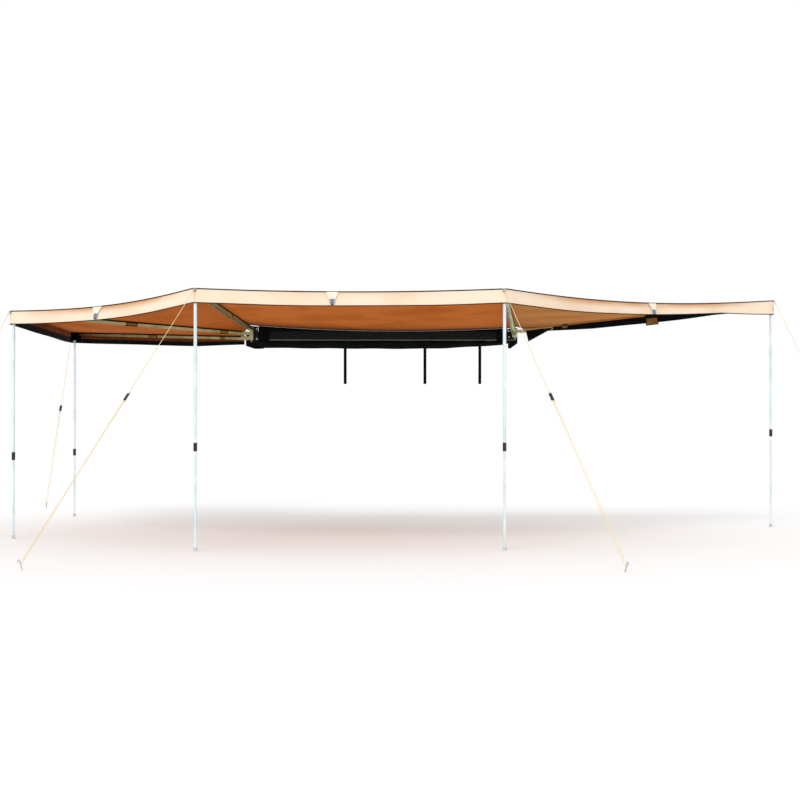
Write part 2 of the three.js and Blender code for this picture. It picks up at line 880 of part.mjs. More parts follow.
// The middle panel: from the rail out between the two side arms.
function middlePanel() {
  const edges = [
    ["side_front", -1, hubs.front],
    ["side_rear", 1, hubs.rear],
  ].map(([name, side, hub]) => {
    const x = hub.x + hub.side * railCornerOut;
    const start = new THREE.Vector3(x, kederY, railEdgeEnd(hub));
    const marginStart = start.clone().setX(x + hub.side * channelWidth / 2);
    const rows = armEdge(armPlans[name], side);
    const first = rows[0];
    rows[0] = {
      share: first.share,
      seam: first.seam.clone().setZ(Math.max(first.seam.z, railEdgeEnd(hub))),
      margin: first.margin.clone().setZ(Math.max(first.margin.z, railEdgeEnd(hub))),
    };
    const whole = [{ seam: start, margin: marginStart }, ...rows];
    return whole.map((edge, i) => ({ ...edge, share: i / (whole.length - 1) }));
  });
  const railSag = railSagDepth();
  const sag = (share) => railSag + (sideSag - railSag) * share;
  return panelSolid(edges[0], edges[1], middleCells, 0, sag);
}

// The black strip that hangs the middle panel on the rail. Its foot sits in the groove.
function kederSolid() {
  const x = (hub) => hub.x + hub.side * (railCornerOut + channelWidth / 2);
  const [rear, front] = [hubs.rear, hubs.front];
  const foot = railTop - kederGrooveDepth + restGap;
  const points = [
    [x(front), foot],
    [x(rear), foot],
  ];
  for (let cell = 0; cell <= middleCells; cell++) {
    const share = cell / middleCells;
    const bow = 4 * share * (1 - share);
    const height = railEdgeEnd(rear) + (railEdgeEnd(front) - railEdgeEnd(rear)) * share;
    const lowered = height - railSagDepth() * bow - clothThickness - restGap;
    points.push([x(rear) + (x(front) - x(rear)) * share, lowered]);
  }
  const strip = pull(outline(points), kederThickness).rotate([90, 0, 0]);
  return strip.translate([0, kederY + kederThickness / 2, 0]);
}

// The cloth flap on an end arm: over half of the arm's top and down its outer side.
function endValanceSolid(plan, { side, shares }) {
  const seat = channelHeight / 2 + clothLift;
  const face = channelWidth / 2 + legPinHead + restGap;
  const outer = face + clothThickness;
  const top = seat + clothThickness;
  const start = (endValanceStart - rakeStart) / Math.cos(plan.rake);
  const length = pinAlong(plan) + clothEdge - start;
  const rings = shares.map((share, i) => {
    const x = start + (length * i) / (shares.length - 1);
    const low = seat - valanceDrop * share;
    return [
      [face, seat],
      [face, low],
      [outer, low],
      [outer, top],
      [clothNotch, top],
      [clothNotch, seat],
    ].map(([y, z]) => new THREE.Vector3(x, side * y, z));
  });
  return raked(plan, ringsSolid(rings));
}

// A value read between the stations of a list, at a share of its length.
function between(list, share) {
  const place = share * (list.length - 1);
  const index = Math.min(Math.floor(place), list.length - 2);
  return list[index] + (list[index + 1] - list[index]) * (place - index);
}

// The empty storage bag: a soft roll that hangs from the rail's lower edge and thins out forwards.
function bagSolid() {
  const start = hubs.rear.x + bagEndInset;
  const length = hubSpan - 2 * bagEndInset;
  const top = railBase - restGap;
  const rings = [];
  for (let i = 0; i <= bagStations; i++) {
    const share = i / bagStations;
    const ripple = Math.sin(share * bagRipples * Math.PI) ** 2;
    const height = between(bagHeights, share);
    const half = (bagDepth / 2) * (1 - bagSlackShare + bagSlackShare * ripple);
    const ring = [];
    for (let k = 0; k < bagRingPoints; k++) {
      const turn = (2 * Math.PI * k) / bagRingPoints;
      const down = Math.min((1 - Math.cos(turn)) / 2, 1);
      const swell = Math.sin(Math.PI * down ** bagFullShare);
      const across = Math.sign(Math.sin(turn)) * (bagSeam / 2 + (half - bagSeam / 2) * swell);
      const edge = k === 0 || 2 * k === bagRingPoints;
      const y = edge ? bagY : bagY + across;
      ring.push(new THREE.Vector3(start + share * length, y, top - height * down));
    }
    rings.push(ring);
  }
  return ringsSolid(rings);
}

// Closed rings of points joined into one solid with flat ends.
function ringsSolid(rings) {
  const sides = rings[0].length;
  const positions = rings.flat().flatMap((point) => [point.x, point.y, point.z]);
  const triangles = [];
  for (let i = 0; i + 1 < rings.length; i++) {
    for (let k = 0; k < sides; k++) {
      const next = (k + 1) % sides;
      const [a, b] = [i * sides + k, i * sides + next];
      triangles.push(a, b, b + sides, a, b + sides, a + sides);
    }
  }
  const last = (rings.length - 1) * sides;
  for (let k = 1; k + 1 < sides; k++) {
    triangles.push(0, k + 1, k);
    triangles.push(last, last + k, last + k + 1);
  }
  return facingOut(positions, triangles);
}

// A strap: a flat band from the rail's underside down behind the bag, curled a little at its foot.
function strapSolid() {
  const profile = [];
  for (let i = 0; i <= strapSteps; i++) {
    const share = i / strapSteps;
    profile.push([strapCurl * share ** 3, -strapLength * share]);
  }
  const back = profile.map(([y, z]) => [y + strapThickness, z]).reverse();
  return pullAlongX(outline([...profile, ...back]), -strapWidth / 2, strapWidth);
}

// The route of a guy rope: from the eye down to the peg, round it, and back up to the slider.
function ropePlan(plan) {
  const hub = hubs[plan.hub];
  const along = eyeAlong(plan);
  const [c, s] = [Math.cos(plan.rake), Math.sin(plan.rake)];
  const radius = rakeStart + along * c - eyeHeight() * s;
  const height = hubLift + plan.level * levelPitch + along * s + eyeHeight() * c;
  const outwardsAlong = new THREE.Vector3(Math.cos(plan.bearing), Math.sin(plan.bearing), 0);
  const eye = new THREE.Vector3(hub.x, hub.y, height).addScaledVector(outwardsAlong, radius);
  const heading = plan.bearing + plan.stakeTurn;
  const outwards = new THREE.Vector3(Math.cos(heading), Math.sin(heading), 0);
  const peg = eye.clone().addScaledVector(outwards, plan.stakeOut).setZ(groundZ + pegShow);
  const down = new THREE.Vector3().subVectors(peg, eye).normalize();
  const across = new THREE.Vector3().crossVectors(down, new THREE.Vector3(0, 0, 1)).normalize();

  // The rope's end rests on the wire of the eye, where the pull is square to it.
  const ringAxis = new THREE.Vector3(-outwardsAlong.y, outwardsAlong.x, 0);
  const inRing = down.clone().addScaledVector(ringAxis, -down.dot(ringAxis)).normalize();
  const start = eye.clone().addScaledVector(inRing, capEyeRadius);
  start.addScaledVector(down, capEyeWire + restGap);
  const length = new THREE.Vector3().subVectors(peg, start).dot(down);

  // The turn round the leaning peg is drawn up until the rope lies against it.
  const lean = outwards.clone().multiplyScalar(Math.sin(pegLean)).setZ(Math.cos(pegLean));
  const steepness = new THREE.Vector3().crossVectors(down, lean).length();
  const turnAt = length + (pegRadius + ropeRadius + restGap) / steepness - strandGap / 2;
  return { start, peg, down, across, outwards, lean, length, turnAt };
}

// The two strands of a rope as one line of points, from the eye round the peg and back to the slider.
function ropePoints(plan) {
  const { start, peg, down, across, length, turnAt } = ropePlan(plan);
  const half = strandGap / 2;
  const offLine = start.clone().addScaledVector(down, length).sub(peg);
  const at = (distance, side) => {
    const point = start.clone().addScaledVector(down, distance).addScaledVector(across, side);
    return point.addScaledVector(offLine, -Math.min(distance / length, 1));
  };
  const points = strandShares.map((share) => at(share * turnAt, half * share));
  for (const turn of loopTurns) {
    const ahead = half * Math.sin(turn * degree);
    points.push(at(turnAt + ahead, half * Math.cos(turn * degree)));
  }
  const toSlider = turnAt - length * sliderShare;
  const back = toSlider + sliderLength / 2;
  for (const share of strandShares) {
    const closing = (half - sliderStrandAt) * Math.min((share * back) / toSlider, 1);
    points.push(at(turnAt - share * back, closing - half));
  }
  return points;
}

// Turns a piece drawn along X, with Y across it, to lie along a rope at a point.
function alongRope(made, { down, across }, point) {
  const up = new THREE.Vector3().crossVectors(down, across);
  const m = new THREE.Matrix4().makeBasis(down, across, up).setPosition(point);
  return made.transform(m.elements);
}

// A rope slider: a plate with round ends and two holes along it for the strands.
function sliderSolid(plan) {
  const places = ropePlan(plan);
  const half = sliderWidth / 2;
  const plate = block(
    [-sliderLength / 2, -half, -sliderThickness / 2],
    [sliderLength / 2, half, sliderThickness / 2],
  );
  const middle = places.length * sliderShare;
  const strandAt = (strandGap / 2) * sliderShare;
  const boreRadius = boreRound(ropeRadius + 2 * restGap, ropeSides);
  let made = plate;
  for (const side of [strandAt, -sliderStrandAt]) {
    const bore = bar(boreRadius, sliderLength + 2 * cutOverrun, ropeSides, "x");
    made = made.subtract(bore.translate([0, side, 0]));
  }
  const waist = bar(sliderWaist, sliderThickness + 2 * cutOverrun, ringSides);
  for (const side of [-1, 1]) {
    made = made.subtract(waist.translate([0, side * (half + sliderWaistOut), 0]));
  }
  const offLine = places.start.clone().addScaledVector(places.down, places.length).sub(places.peg);
  const point = places.start.clone().addScaledVector(places.down, middle);
  return alongRope(made, places, point.addScaledVector(offLine, -sliderShare));
}

// A ground peg: a round steel pin driven in at a slant, with a hook at its head for the rope.
function pegSolid(plan) {
  const { peg, outwards, lean } = ropePlan(plan);
  const head = peg.clone().addScaledVector(lean, pegShow / 2);
  const points = [
    peg.clone().addScaledVector(lean, -pegLength + pegShow),
    head,
  ];
  const centre = head.clone().addScaledVector(outwards, pegHook / 2);
  for (const turn of hookTurns) {
    const point = centre.clone().addScaledVector(outwards, (-pegHook / 2) * Math.cos(turn * degree));
    points.push(point.setZ(point.z + (pegHook / 2) * Math.sin(turn * degree)));
  }
  points.push(points[points.length - 1].clone().setZ(centre.z - pegHook / 2));
  return tubeThrough(points, pegRadius, ropeSides);
}

// Adds the pieces of one arm: channel, cap, leg, collar, rope, slider and peg.
for (const [name, plan] of Object.entries(armPlans)) {
  const hub = hubs[plan.hub];
  const arm = new THREE.Group();
  arm.position.set(hub.x, hub.y, hubLift + plan.level * levelPitch);
  arm.rotation.z = plan.bearing;
  awning.add(arm);
  add(arm, "arm_" + name, armSolid(plan), finishes.aluminium);
  add(arm, "corner_cap_" + name, cornerCapSolid(plan), finishes.capPlastic);

  const leg = new THREE.Group();
  leg.position.set(reachOf(plan), 0, legPinRise(plan));
  arm.add(leg);
  add(leg, "upper_leg_" + name, upperLegSolid(), finishes.tube);
  add(leg, "lower_leg_" + name, lowerLegSolid(plan), finishes.tube);
  const collar = add(leg, "leg_collar_" + name, collarSolid(), finishes.plastic);
  collar.position.z = -upperLegLength;

  add(awning, "guy_rope_" + name, tubeThrough(ropePoints(plan), ropeRadius, ropeSides), finishes.rope);
  add(awning, "rope_slider_" + name, sliderSolid(plan), finishes.plastic);
  add(awning, "ground_peg_" + name, pegSolid(plan), finishes.zinc);
  const flap = endValances[name];
  if (flap) add(arm, "end_valance_" + name, endValanceSolid(plan, flap), finishes.canvas);
}

// Adds the rail and what it carries.
add(awning, "mount_rail", railSolid(), finishes.aluminium);
const bracketPlaces = { rear: -bracketSpread, middle: 0, front: bracketSpread };
for (const [name, x] of Object.entries(bracketPlaces)) {
  add(awning, "rack_bracket_" + name, rackBracketSolid(), finishes.steelBlack).position.x = x;
}
for (const [name, hub] of Object.entries(hubs)) {
  const bracket = add(awning, "hub_bracket_" + name, hubBracketSolid(hub), finishes.steelBlack);
  bracket.position.set(hub.x, hub.y, hubLift);
  add(awning, "hub_pin_" + name, hubPinSolid(hub), finishes.zinc).position.copy(bracket.position);
}
add(awning, "storage_bag", bagSolid(), finishes.bag);
for (const [name, share] of Object.entries(strapShares)) {
  const strap = add(awning, "bag_strap_" + name, strapSolid(), finishes.webbing);
  strap.position.set((share * hubSpan) / 2, bagY + bagDepth / 2 + restGap, railBase - restGap);
}

// Adds the cloth.
add(awning, "keder_strip", kederSolid(), finishes.bag);
add(awning, "canopy_middle", middlePanel(), finishes.canvas);
add(awning, "canopy_rear", fanPanel("side_rear", "rear", shortFanCells), finishes.canvas);
add(awning, "canopy_tail", fanPanel("rear", "tail", shortFanCells), finishes.canvas);
add(awning, "canopy_nose", fanPanel("nose", "side_front", longFanCells), finishes.canvas);

export default awning;
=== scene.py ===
"""Dresses the side awning: cloth, ropes, bag, ties, small fittings and finishes.

Lengths are metres. +X runs forwards along the rail, +Y inboard, +Z up.
"""

import math

import bpy
from mathutils import Matrix, Vector
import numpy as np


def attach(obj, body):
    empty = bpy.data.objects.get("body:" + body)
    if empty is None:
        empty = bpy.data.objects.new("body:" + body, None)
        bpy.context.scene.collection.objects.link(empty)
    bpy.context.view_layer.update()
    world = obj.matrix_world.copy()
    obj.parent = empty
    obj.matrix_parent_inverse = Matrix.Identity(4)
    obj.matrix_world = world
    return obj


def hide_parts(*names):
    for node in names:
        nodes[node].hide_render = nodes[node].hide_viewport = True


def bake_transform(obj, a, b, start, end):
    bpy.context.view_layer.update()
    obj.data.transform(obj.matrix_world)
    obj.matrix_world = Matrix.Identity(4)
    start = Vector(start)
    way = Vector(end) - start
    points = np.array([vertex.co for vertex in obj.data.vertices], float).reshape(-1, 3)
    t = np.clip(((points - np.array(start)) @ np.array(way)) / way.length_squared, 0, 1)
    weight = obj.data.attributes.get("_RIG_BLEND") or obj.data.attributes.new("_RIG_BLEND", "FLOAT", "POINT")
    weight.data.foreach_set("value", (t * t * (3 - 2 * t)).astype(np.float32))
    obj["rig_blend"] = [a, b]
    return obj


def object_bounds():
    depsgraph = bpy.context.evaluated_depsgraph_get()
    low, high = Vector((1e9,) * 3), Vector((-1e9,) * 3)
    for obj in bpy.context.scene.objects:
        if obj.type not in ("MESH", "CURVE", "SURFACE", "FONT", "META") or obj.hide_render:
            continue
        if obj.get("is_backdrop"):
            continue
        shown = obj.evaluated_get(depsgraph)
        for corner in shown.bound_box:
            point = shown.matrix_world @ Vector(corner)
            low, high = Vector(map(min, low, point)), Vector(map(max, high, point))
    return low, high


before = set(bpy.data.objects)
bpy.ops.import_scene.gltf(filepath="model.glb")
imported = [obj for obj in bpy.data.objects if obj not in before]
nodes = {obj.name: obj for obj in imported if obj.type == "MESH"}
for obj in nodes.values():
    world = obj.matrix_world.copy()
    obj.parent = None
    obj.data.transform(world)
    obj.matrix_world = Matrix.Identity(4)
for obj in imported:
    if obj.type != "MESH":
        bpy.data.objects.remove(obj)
cad_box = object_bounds()

# Sizes of the frame, as the solids have them
rest_gap = 0.0003
ground_z = -1.555
hub_span = 2.24
hub_lift = 0.08
hub_y = -0.1063
front_hub_setout = 0.045
level_pitch = 0.038
pin_rise = 0.0096
arm_reach = 2.15
arm_step = 0.064
rake_start = 0.046
channel_width = 0.034
channel_height = 0.032
channel_end = 0.014
leg_pin_depth = 0.0165
rail_front = -0.0703
rail_back = -0.0403
rail_base = 0.024
rail_top = 0.1
keder_y = -0.0633
keder_groove = 0.009
rail_corner_out = 0.038
rail_cloth_gap = 0.003
bag_end_inset = 0.005
bag_depth = 0.026

# Sizes of the cloth
cloth_lift = 0.0004
cloth_thickness = 0.0015
cloth_clearance = 0.0012
cloth_start = 0.07
cloth_edge = 0.0225
cloth_notch = 0.007
cloth_notch_start = 0.01
cloth_seam_gap = 0.0005
corner_seam = 0.003
edge_short = 0.02
edge_steps = 5
valance_drop = 0.098
hub_cover_length = 0.54
side_sag = 0.022
fan_sag = 0.013
fan_pull_in = 0.06
sheet_thickness = 0.0011

# Sizes of the ropes, their knots and what they are tied to
rope_radius = 0.002
strand_gap = 0.016
slider_strand_at = 0.005
peg_radius = 0.0035
peg_lean = math.radians(20)
slider_share = 0.42
slider_length = 0.058
peg_show = 0.038
eye_radius = 0.005
eye_wire = 0.0016
eye_sunk = 0.0005
knot_out = 0.0038
knot_height = 0.0125
knot_turns = 3
knot_steps = 24
knot_strand = 0.0019
knot_below_eye = 0.014
knot_above_slider = 0.0065
knot_below_slider = 0.007
stopper_aside = 0.0001
loop_radius = 0.0038
loop_strand = 0.0018
cap_plate_gap = 0.0003
cap_hood_reach = 0.012
cap_hood_thickness = 0.003
cap_lip_drop = 0.018

# Where each arm and its rope stand, with bearings, rakes and turns in degrees
hubs = {
    "rear": {"x": -hub_span / 2, "y": hub_y, "levels": 3, "side": 1, "rail_bearing": 0},
    "front": {
        "x": hub_span / 2,
        "y": hub_y - front_hub_setout,
        "levels": 2,
        "side": -1,
        "rail_bearing": -180,
    },
}
arms = {
    "side_rear": {"hub": "rear", "level": 1, "rank": 0, "bearing": -95, "rake": 4.0},
    "rear": {"hub": "rear", "level": 0, "rank": 1, "bearing": -145, "rake": 2.5},
    "tail": {"hub": "rear", "level": -1, "rank": 2, "bearing": -211, "rake": 2.5},
    "side_front": {"hub": "front", "level": -0.5, "rank": 1, "bearing": -97, "rake": 5.7},
    "nose": {"hub": "front", "level": 0.5, "rank": 0, "bearing": -3, "rake": 6.2},
}
stakes = {
    "side_rear": {"out": 1.46, "turn": -34},
    "rear": {"out": 0.88, "turn": -8},
    "tail": {"out": 1.14, "turn": -34},
    "side_front": {"out": 1.46, "turn": 33},
    "nose": {"out": 0.88, "turn": -14},
}
for hub in hubs.values():
    hub["pin_top"] = hub_lift + hub["levels"] * level_pitch / 2 + pin_rise

# The camera stands where the photograph was taken
camera = bpy.data.objects.new("photo_camera", bpy.data.cameras.new("photo_camera"))
bpy.context.scene.collection.objects.link(camera)
camera.data.sensor_width = 36
camera.data.lens = 64.4
camera.data.clip_end = 200
camera.location = (0.057, -12.3, -0.54)
camera.rotation_euler = (math.radians(90.254), 0, math.radians(-0.41))
bpy.context.scene.camera = camera


def deselect_all():
    for o in bpy.context.selected_objects:
        o.select_set(False)


def object_of(name, vertices, faces):
    """A mesh object from points and faces."""
    mesh = bpy.data.meshes.new(name)
    mesh.from_pydata([tuple(v) for v in vertices], [], faces)
    mesh.update()
    piece = bpy.data.objects.new(name, mesh)
    bpy.context.scene.collection.objects.link(piece)
    return piece


def make_active(piece):
    deselect_all()
    piece.select_set(True)
    bpy.context.view_layer.objects.active = piece


def edit(piece):
    make_active(piece)
    bpy.ops.object.mode_set(mode="EDIT")


def leave_edit():
    bpy.ops.object.mode_set(mode="OBJECT")


def apply_modifiers(piece):
    make_active(piece)
    for modifier in list(piece.modifiers):
        bpy.ops.object.modifier_apply(modifier=modifier.name)


def shade_smooth(piece, angle=35):
    make_active(piece)
    bpy.ops.object.shade_smooth_by_angle(angle=math.radians(angle))


def bevel_edges(piece, width, segments=2, angle=30):
    """Rounds the sharp edges of a piece."""
    modifier = piece.modifiers.new("rounding", "BEVEL")
    modifier.width = width
    modifier.segments = segments
    modifier.limit_method = "ANGLE"
    modifier.angle_limit = math.radians(angle)
    apply_modifiers(piece)


def thicken(piece, thickness, offset=0, material_offset=0):
    """Gives a sheet its thickness, on both sides or, with an offset of -1, below it."""
    modifier = piece.modifiers.new("thickness", "SOLIDIFY")
    modifier.thickness = thickness
    modifier.offset = offset
    modifier.material_offset = material_offset
    modifier.material_offset_rim = material_offset
    apply_modifiers(piece)


def face_outwards(piece):
    edit(piece)
    bpy.ops.mesh.select_all(action="SELECT")
    bpy.ops.mesh.normals_make_consistent(inside=False)
    leave_edit()


def added(name, add, **values):
    """The object that an operator adds, with its place written into its mesh."""
    deselect_all()
    add(**values)
    piece = bpy.context.active_object
    piece.name = name
    piece.data.transform(piece.matrix_basis)
    piece.matrix_basis = Matrix.Identity(4)
    return piece


def join_pieces(name, pieces):
    """Joins objects into the first of them."""
    make_active(pieces[0])
    for piece in pieces[1:]:
        piece.select_set(True)
    bpy.ops.object.join()
    pieces[0].name = name
    pieces[0].data.name = name
    return pieces[0]


def copy_to(piece, name, matrix):
    """A copy of a piece with its own mesh, moved by a matrix."""
    copy = piece.copy()
    copy.data = piece.data.copy()
    copy.name = name
    copy.data.name = name
    bpy.context.scene.collection.objects.link(copy)
    copy.data.transform(matrix)
    return copy


def grid_faces(rows, columns, turned=False):
    """Faces between neighbouring rows of points, or the same faces turned over."""
    corners = (0, 1, columns + 1, columns) if turned else (0, columns, columns + 1, 1)
    starts = [r * columns + c for r in range(rows - 1) for c in range(columns - 1)]
    return [tuple(start + corner for corner in corners) for start in starts]


def ring_faces(rings, sides):
    """Faces between neighbouring closed rings of points."""
    faces = []
    for r in range(rings - 1):
        for k in range(sides):
            a, b = r * sides + k, r * sides + (k + 1) % sides
            faces.append((a, b, b + sides, a + sides))
    return faces


def runs_along(points, start=0):
    """How far along a line each of its points lies."""
    runs = [start]
    for a, b in zip(points, points[1:]):
        runs.append(runs[-1] + (b - a).length)
    return runs


def finish_with(piece, *materials):
    piece.data.materials.clear()
    for material in materials:
        piece.data.materials.append(material)


# Places on the frame


def unit(bearing):
    return Vector((math.cos(math.radians(bearing)), math.sin(math.radians(bearing)), 0))


def reach_of(arm):
    return arm_reach - arm["rank"] * arm_step


def knuckle_height(arm):
    return hub_lift + arm["level"] * level_pitch


def arm_top(arm, radius):
    rake = math.radians(arm["rake"])
    rise = math.tan(rake) * max(radius - rake_start, 0)
    return knuckle_height(arm) + rise + channel_height / 2 / math.cos(rake)


def arm_matrix(name):
    """A frame on an arm: X along the middle of its channel from where the rake starts, Z up."""
    arm = arms[name]
    hub = hubs[arm["hub"]]
    place = Matrix.Translation((hub["x"], hub["y"], knuckle_height(arm)))
    turn = Matrix.Rotation(math.radians(arm["bearing"]), 4, "Z")
    rake = Matrix.Rotation(-math.radians(arm["rake"]), 4, "Y")
    return place @ turn @ Matrix.Translation((rake_start, 0, 0)) @ rake


def along_channel(arm, radius):
    return (radius - rake_start) / math.cos(math.radians(arm["rake"]))


def pin_along(arm):
    return along_channel(arm, reach_of(arm))


def leg_matrix(name):
    """A frame at an arm's leg pin: X along the arm, Z up."""
    arm = arms[name]
    hub = hubs[arm["hub"]]
    rake = math.radians(arm["rake"])
    drop = (leg_pin_depth - channel_height / 2) / math.cos(rake)
    height = knuckle_height(arm) + math.tan(rake) * (reach_of(arm) - rake_start) - drop
    place = Vector((hub["x"], hub["y"], height)) + unit(arm["bearing"]) * reach_of(arm)
    return Matrix.Translation(place) @ Matrix.Rotation(math.radians(arm["bearing"]), 4, "Z")


# Ropes


def eye_height():
    hood_low = channel_height / 2 + cloth_lift + cloth_thickness + cloth_clearance
    return hood_low + cap_hood_thickness - cap_lip_drop / 2


def rope_places(name):
    """Where a rope starts, where its peg stands, and the rope's own directions."""
    arm = arms[name]
    face = pin_along(arm) + channel_end + cap_plate_gap
    along = face + cap_hood_reach + cap_hood_thickness + eye_radius - eye_sunk
    eye = arm_matrix(name) @ Vector((along, 0, eye_height()))
    outwards = unit(arm["bearing"] + stakes[name]["turn"])
    peg = eye + outwards * stakes[name]["out"]
    peg.z = ground_z + peg_show
    down = (peg - eye).normalized()
    across = down.cross(Vector((0, 0, 1))).normalized()
    ring_axis = unit(arm["bearing"] + 90)
    in_ring = (down - ring_axis * down.dot(ring_axis)).normalized()
    start = eye + in_ring * eye_radius + down * (eye_wire + rest_gap)
    length = (peg - start).dot(down)
    off_line = start + down * length - peg
    lean = outwards * math.sin(peg_lean) + Vector((0, 0, math.cos(peg_lean)))
    round_peg = (peg_radius + rope_radius + rest_gap) / down.cross(lean).length
    turn_at = length + round_peg - strand_gap / 2
    return {
        "turn_at": turn_at,
        "eye": eye,
        "start": start,
        "peg": peg,
        "down": down,
        "across": across,
        "in_ring": in_ring,
        "ring_axis": ring_axis,
        "length": length,
        "off_line": off_line,
        "outwards": outwards,
    }


rope_steps, loop_step, return_steps = 7, 15, 3


def rope_path(name):
    """The rope's line: from the eye down to the peg, round it, and back up through the slider."""
    places = rope_places(name)
    half = strand_gap / 2
    length = places["length"]
    loop = places["turn_at"]

    def at(distance, side):
        point = places["start"] + places["down"] * distance + places["across"] * side
        return point - places["off_line"] * min(distance / length, 1)

    points = [at(i / rope_steps * loop, half * i / rope_steps) for i in range(rope_steps + 1)]
    for turn in range(loop_step, 180, loop_step):
        ahead = half * math.sin(math.radians(turn))
        points.append(at(loop + ahead, half * math.cos(math.radians(turn))))
    to_slider = loop - length * slider_share
    for i in range(return_steps + 1):
        closing = (half - slider_strand_at) * i / return_steps
        points.append(at(loop - i / return_steps * to_slider, closing - half))
    points.append(at(loop - to_slider - slider_length / 2, -slider_strand_at))
    return points


def tube(points, radius, sides=10):
    """Points and faces of a round tube along a line, with its length and girth as coordinates."""
    vertices, girth = [], []
    tangent = (points[1] - points[0]).normalized()
    normal = tangent.orthogonal().normalized()
    run = 0
    for i, point in enumerate(points):
        before, after = points[max(i - 1, 0)], points[min(i + 1, len(points) - 1)]
        turned = (after - before).normalized()
        normal = tangent.rotation_difference(turned) @ normal
        tangent = turned
        side = tangent.cross(normal)
        run += (point - before).length
        for k in range(sides):
            turn = 2 * math.pi * k / sides
            vertices.append(point + radius * (math.cos(turn) * normal + math.sin(turn) * side))
            girth.append((run, 2 * math.pi * radius * k / sides))
    faces = ring_faces(len(points), sides)
    faces.append(tuple(range(sides))[::-1])
    faces.append(tuple(range(len(vertices) - sides, len(vertices))))
    return vertices, faces, girth


def tube_object(name, points, radius, sides=10):
    vertices, faces, girth = tube(points, radius, sides)
    piece = object_of(name, vertices, faces)
    run = piece.data.uv_layers.new(name="run")
    for loop in piece.data.loops:
        run.data[loop.index].uv = girth[loop.vertex_index]
    for polygon in piece.data.polygons:
        polygon.use_smooth = len(polygon.vertices) == 4
    return piece


def length_of(points):
    return sum((b - a).length for a, b in zip(points, points[1:]))


def frame_of(place, along, across):
    """A frame at a point, with Z along one direction and X as near as can be to another."""
    third = along.cross(across).normalized()
    first = third.cross(along).normalized()
    matrix = Matrix((first, third, along)).transposed().to_4x4()
    matrix.translation = place
    return matrix


def knot_line():
    """A stopper knot: the rope wound round itself, its ends tucked in."""
    points = []
    steps = knot_steps * knot_turns
    for i in range(steps + 1):
        share = i / steps
        turn = 2 * math.pi * knot_turns * share
        out = knot_out * min(1, 7 * share + 0.1, 7 * (1 - share) + 0.1)
        height = knot_height * (share - 0.5)
        points.append(Vector((out * math.cos(turn), out * math.sin(turn), height)))
    return points


knot = tube_object("rope_knot", knot_line(), knot_strand)
eye_loop = added(
    "eye_loop",
    bpy.ops.mesh.primitive_torus_add,
    major_radius=loop_radius,
    minor_radius=loop_strand,
    major_segments=32,
    minor_segments=12,
)
eye_loop.data.uv_layers[0].name = "run"
for corner in eye_loop.data.uv_layers[0].data:
    corner.uv = (corner.uv[0] * 2 * math.pi * loop_radius, corner.uv[1] * 2 * math.pi * loop_strand)
ropes = {}
knots = []
for name in arms:
    path = rope_path(name)
    places = rope_places(name)
    down, across = places["down"], places["across"]
    loop_place = places["eye"] + places["in_ring"] * eye_radius
    loop_axis = places["in_ring"].cross(places["ring_axis"])
    slider_top = path[-1] - down * knot_above_slider
    below_slider = down * (slider_length + knot_below_slider)
    slider_foot = path[-1] + below_slider - across * stopper_aside
    tied = [
        copy_to(eye_loop, "rope_loop_" + name, frame_of(loop_place, loop_axis, down)),
        copy_to(knot, "rope_knot_" + name, frame_of(path[0] + down * knot_below_eye, down, across)),
        copy_to(knot, "slider_knot_" + name, frame_of(slider_top, down, across)),
        copy_to(knot, "slider_stopper_" + name, frame_of(slider_foot, down, across)),
    ]
    for piece in tied:
        shade_smooth(piece, 60)
        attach(piece, name + "_arm")
    knots += tied
    rope = tube_object("rope_" + name, path, rope_radius)
    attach(rope, name + "_arm")
    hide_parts("guy_rope_" + name)
    ropes[name] = rope
for model in (knot, eye_loop):
    bpy.data.objects.remove(model)

# Finishes


def tone(red, green, blue):
    """A colour as seen on a screen, from 0 to 255, in the renderer's own linear scale."""
    parts = [value / 255 for value in (red, green, blue)]
    return [p / 12.92 if p <= 0.04045 else ((p + 0.055) / 1.055) ** 2.4 for p in parts] + [1]


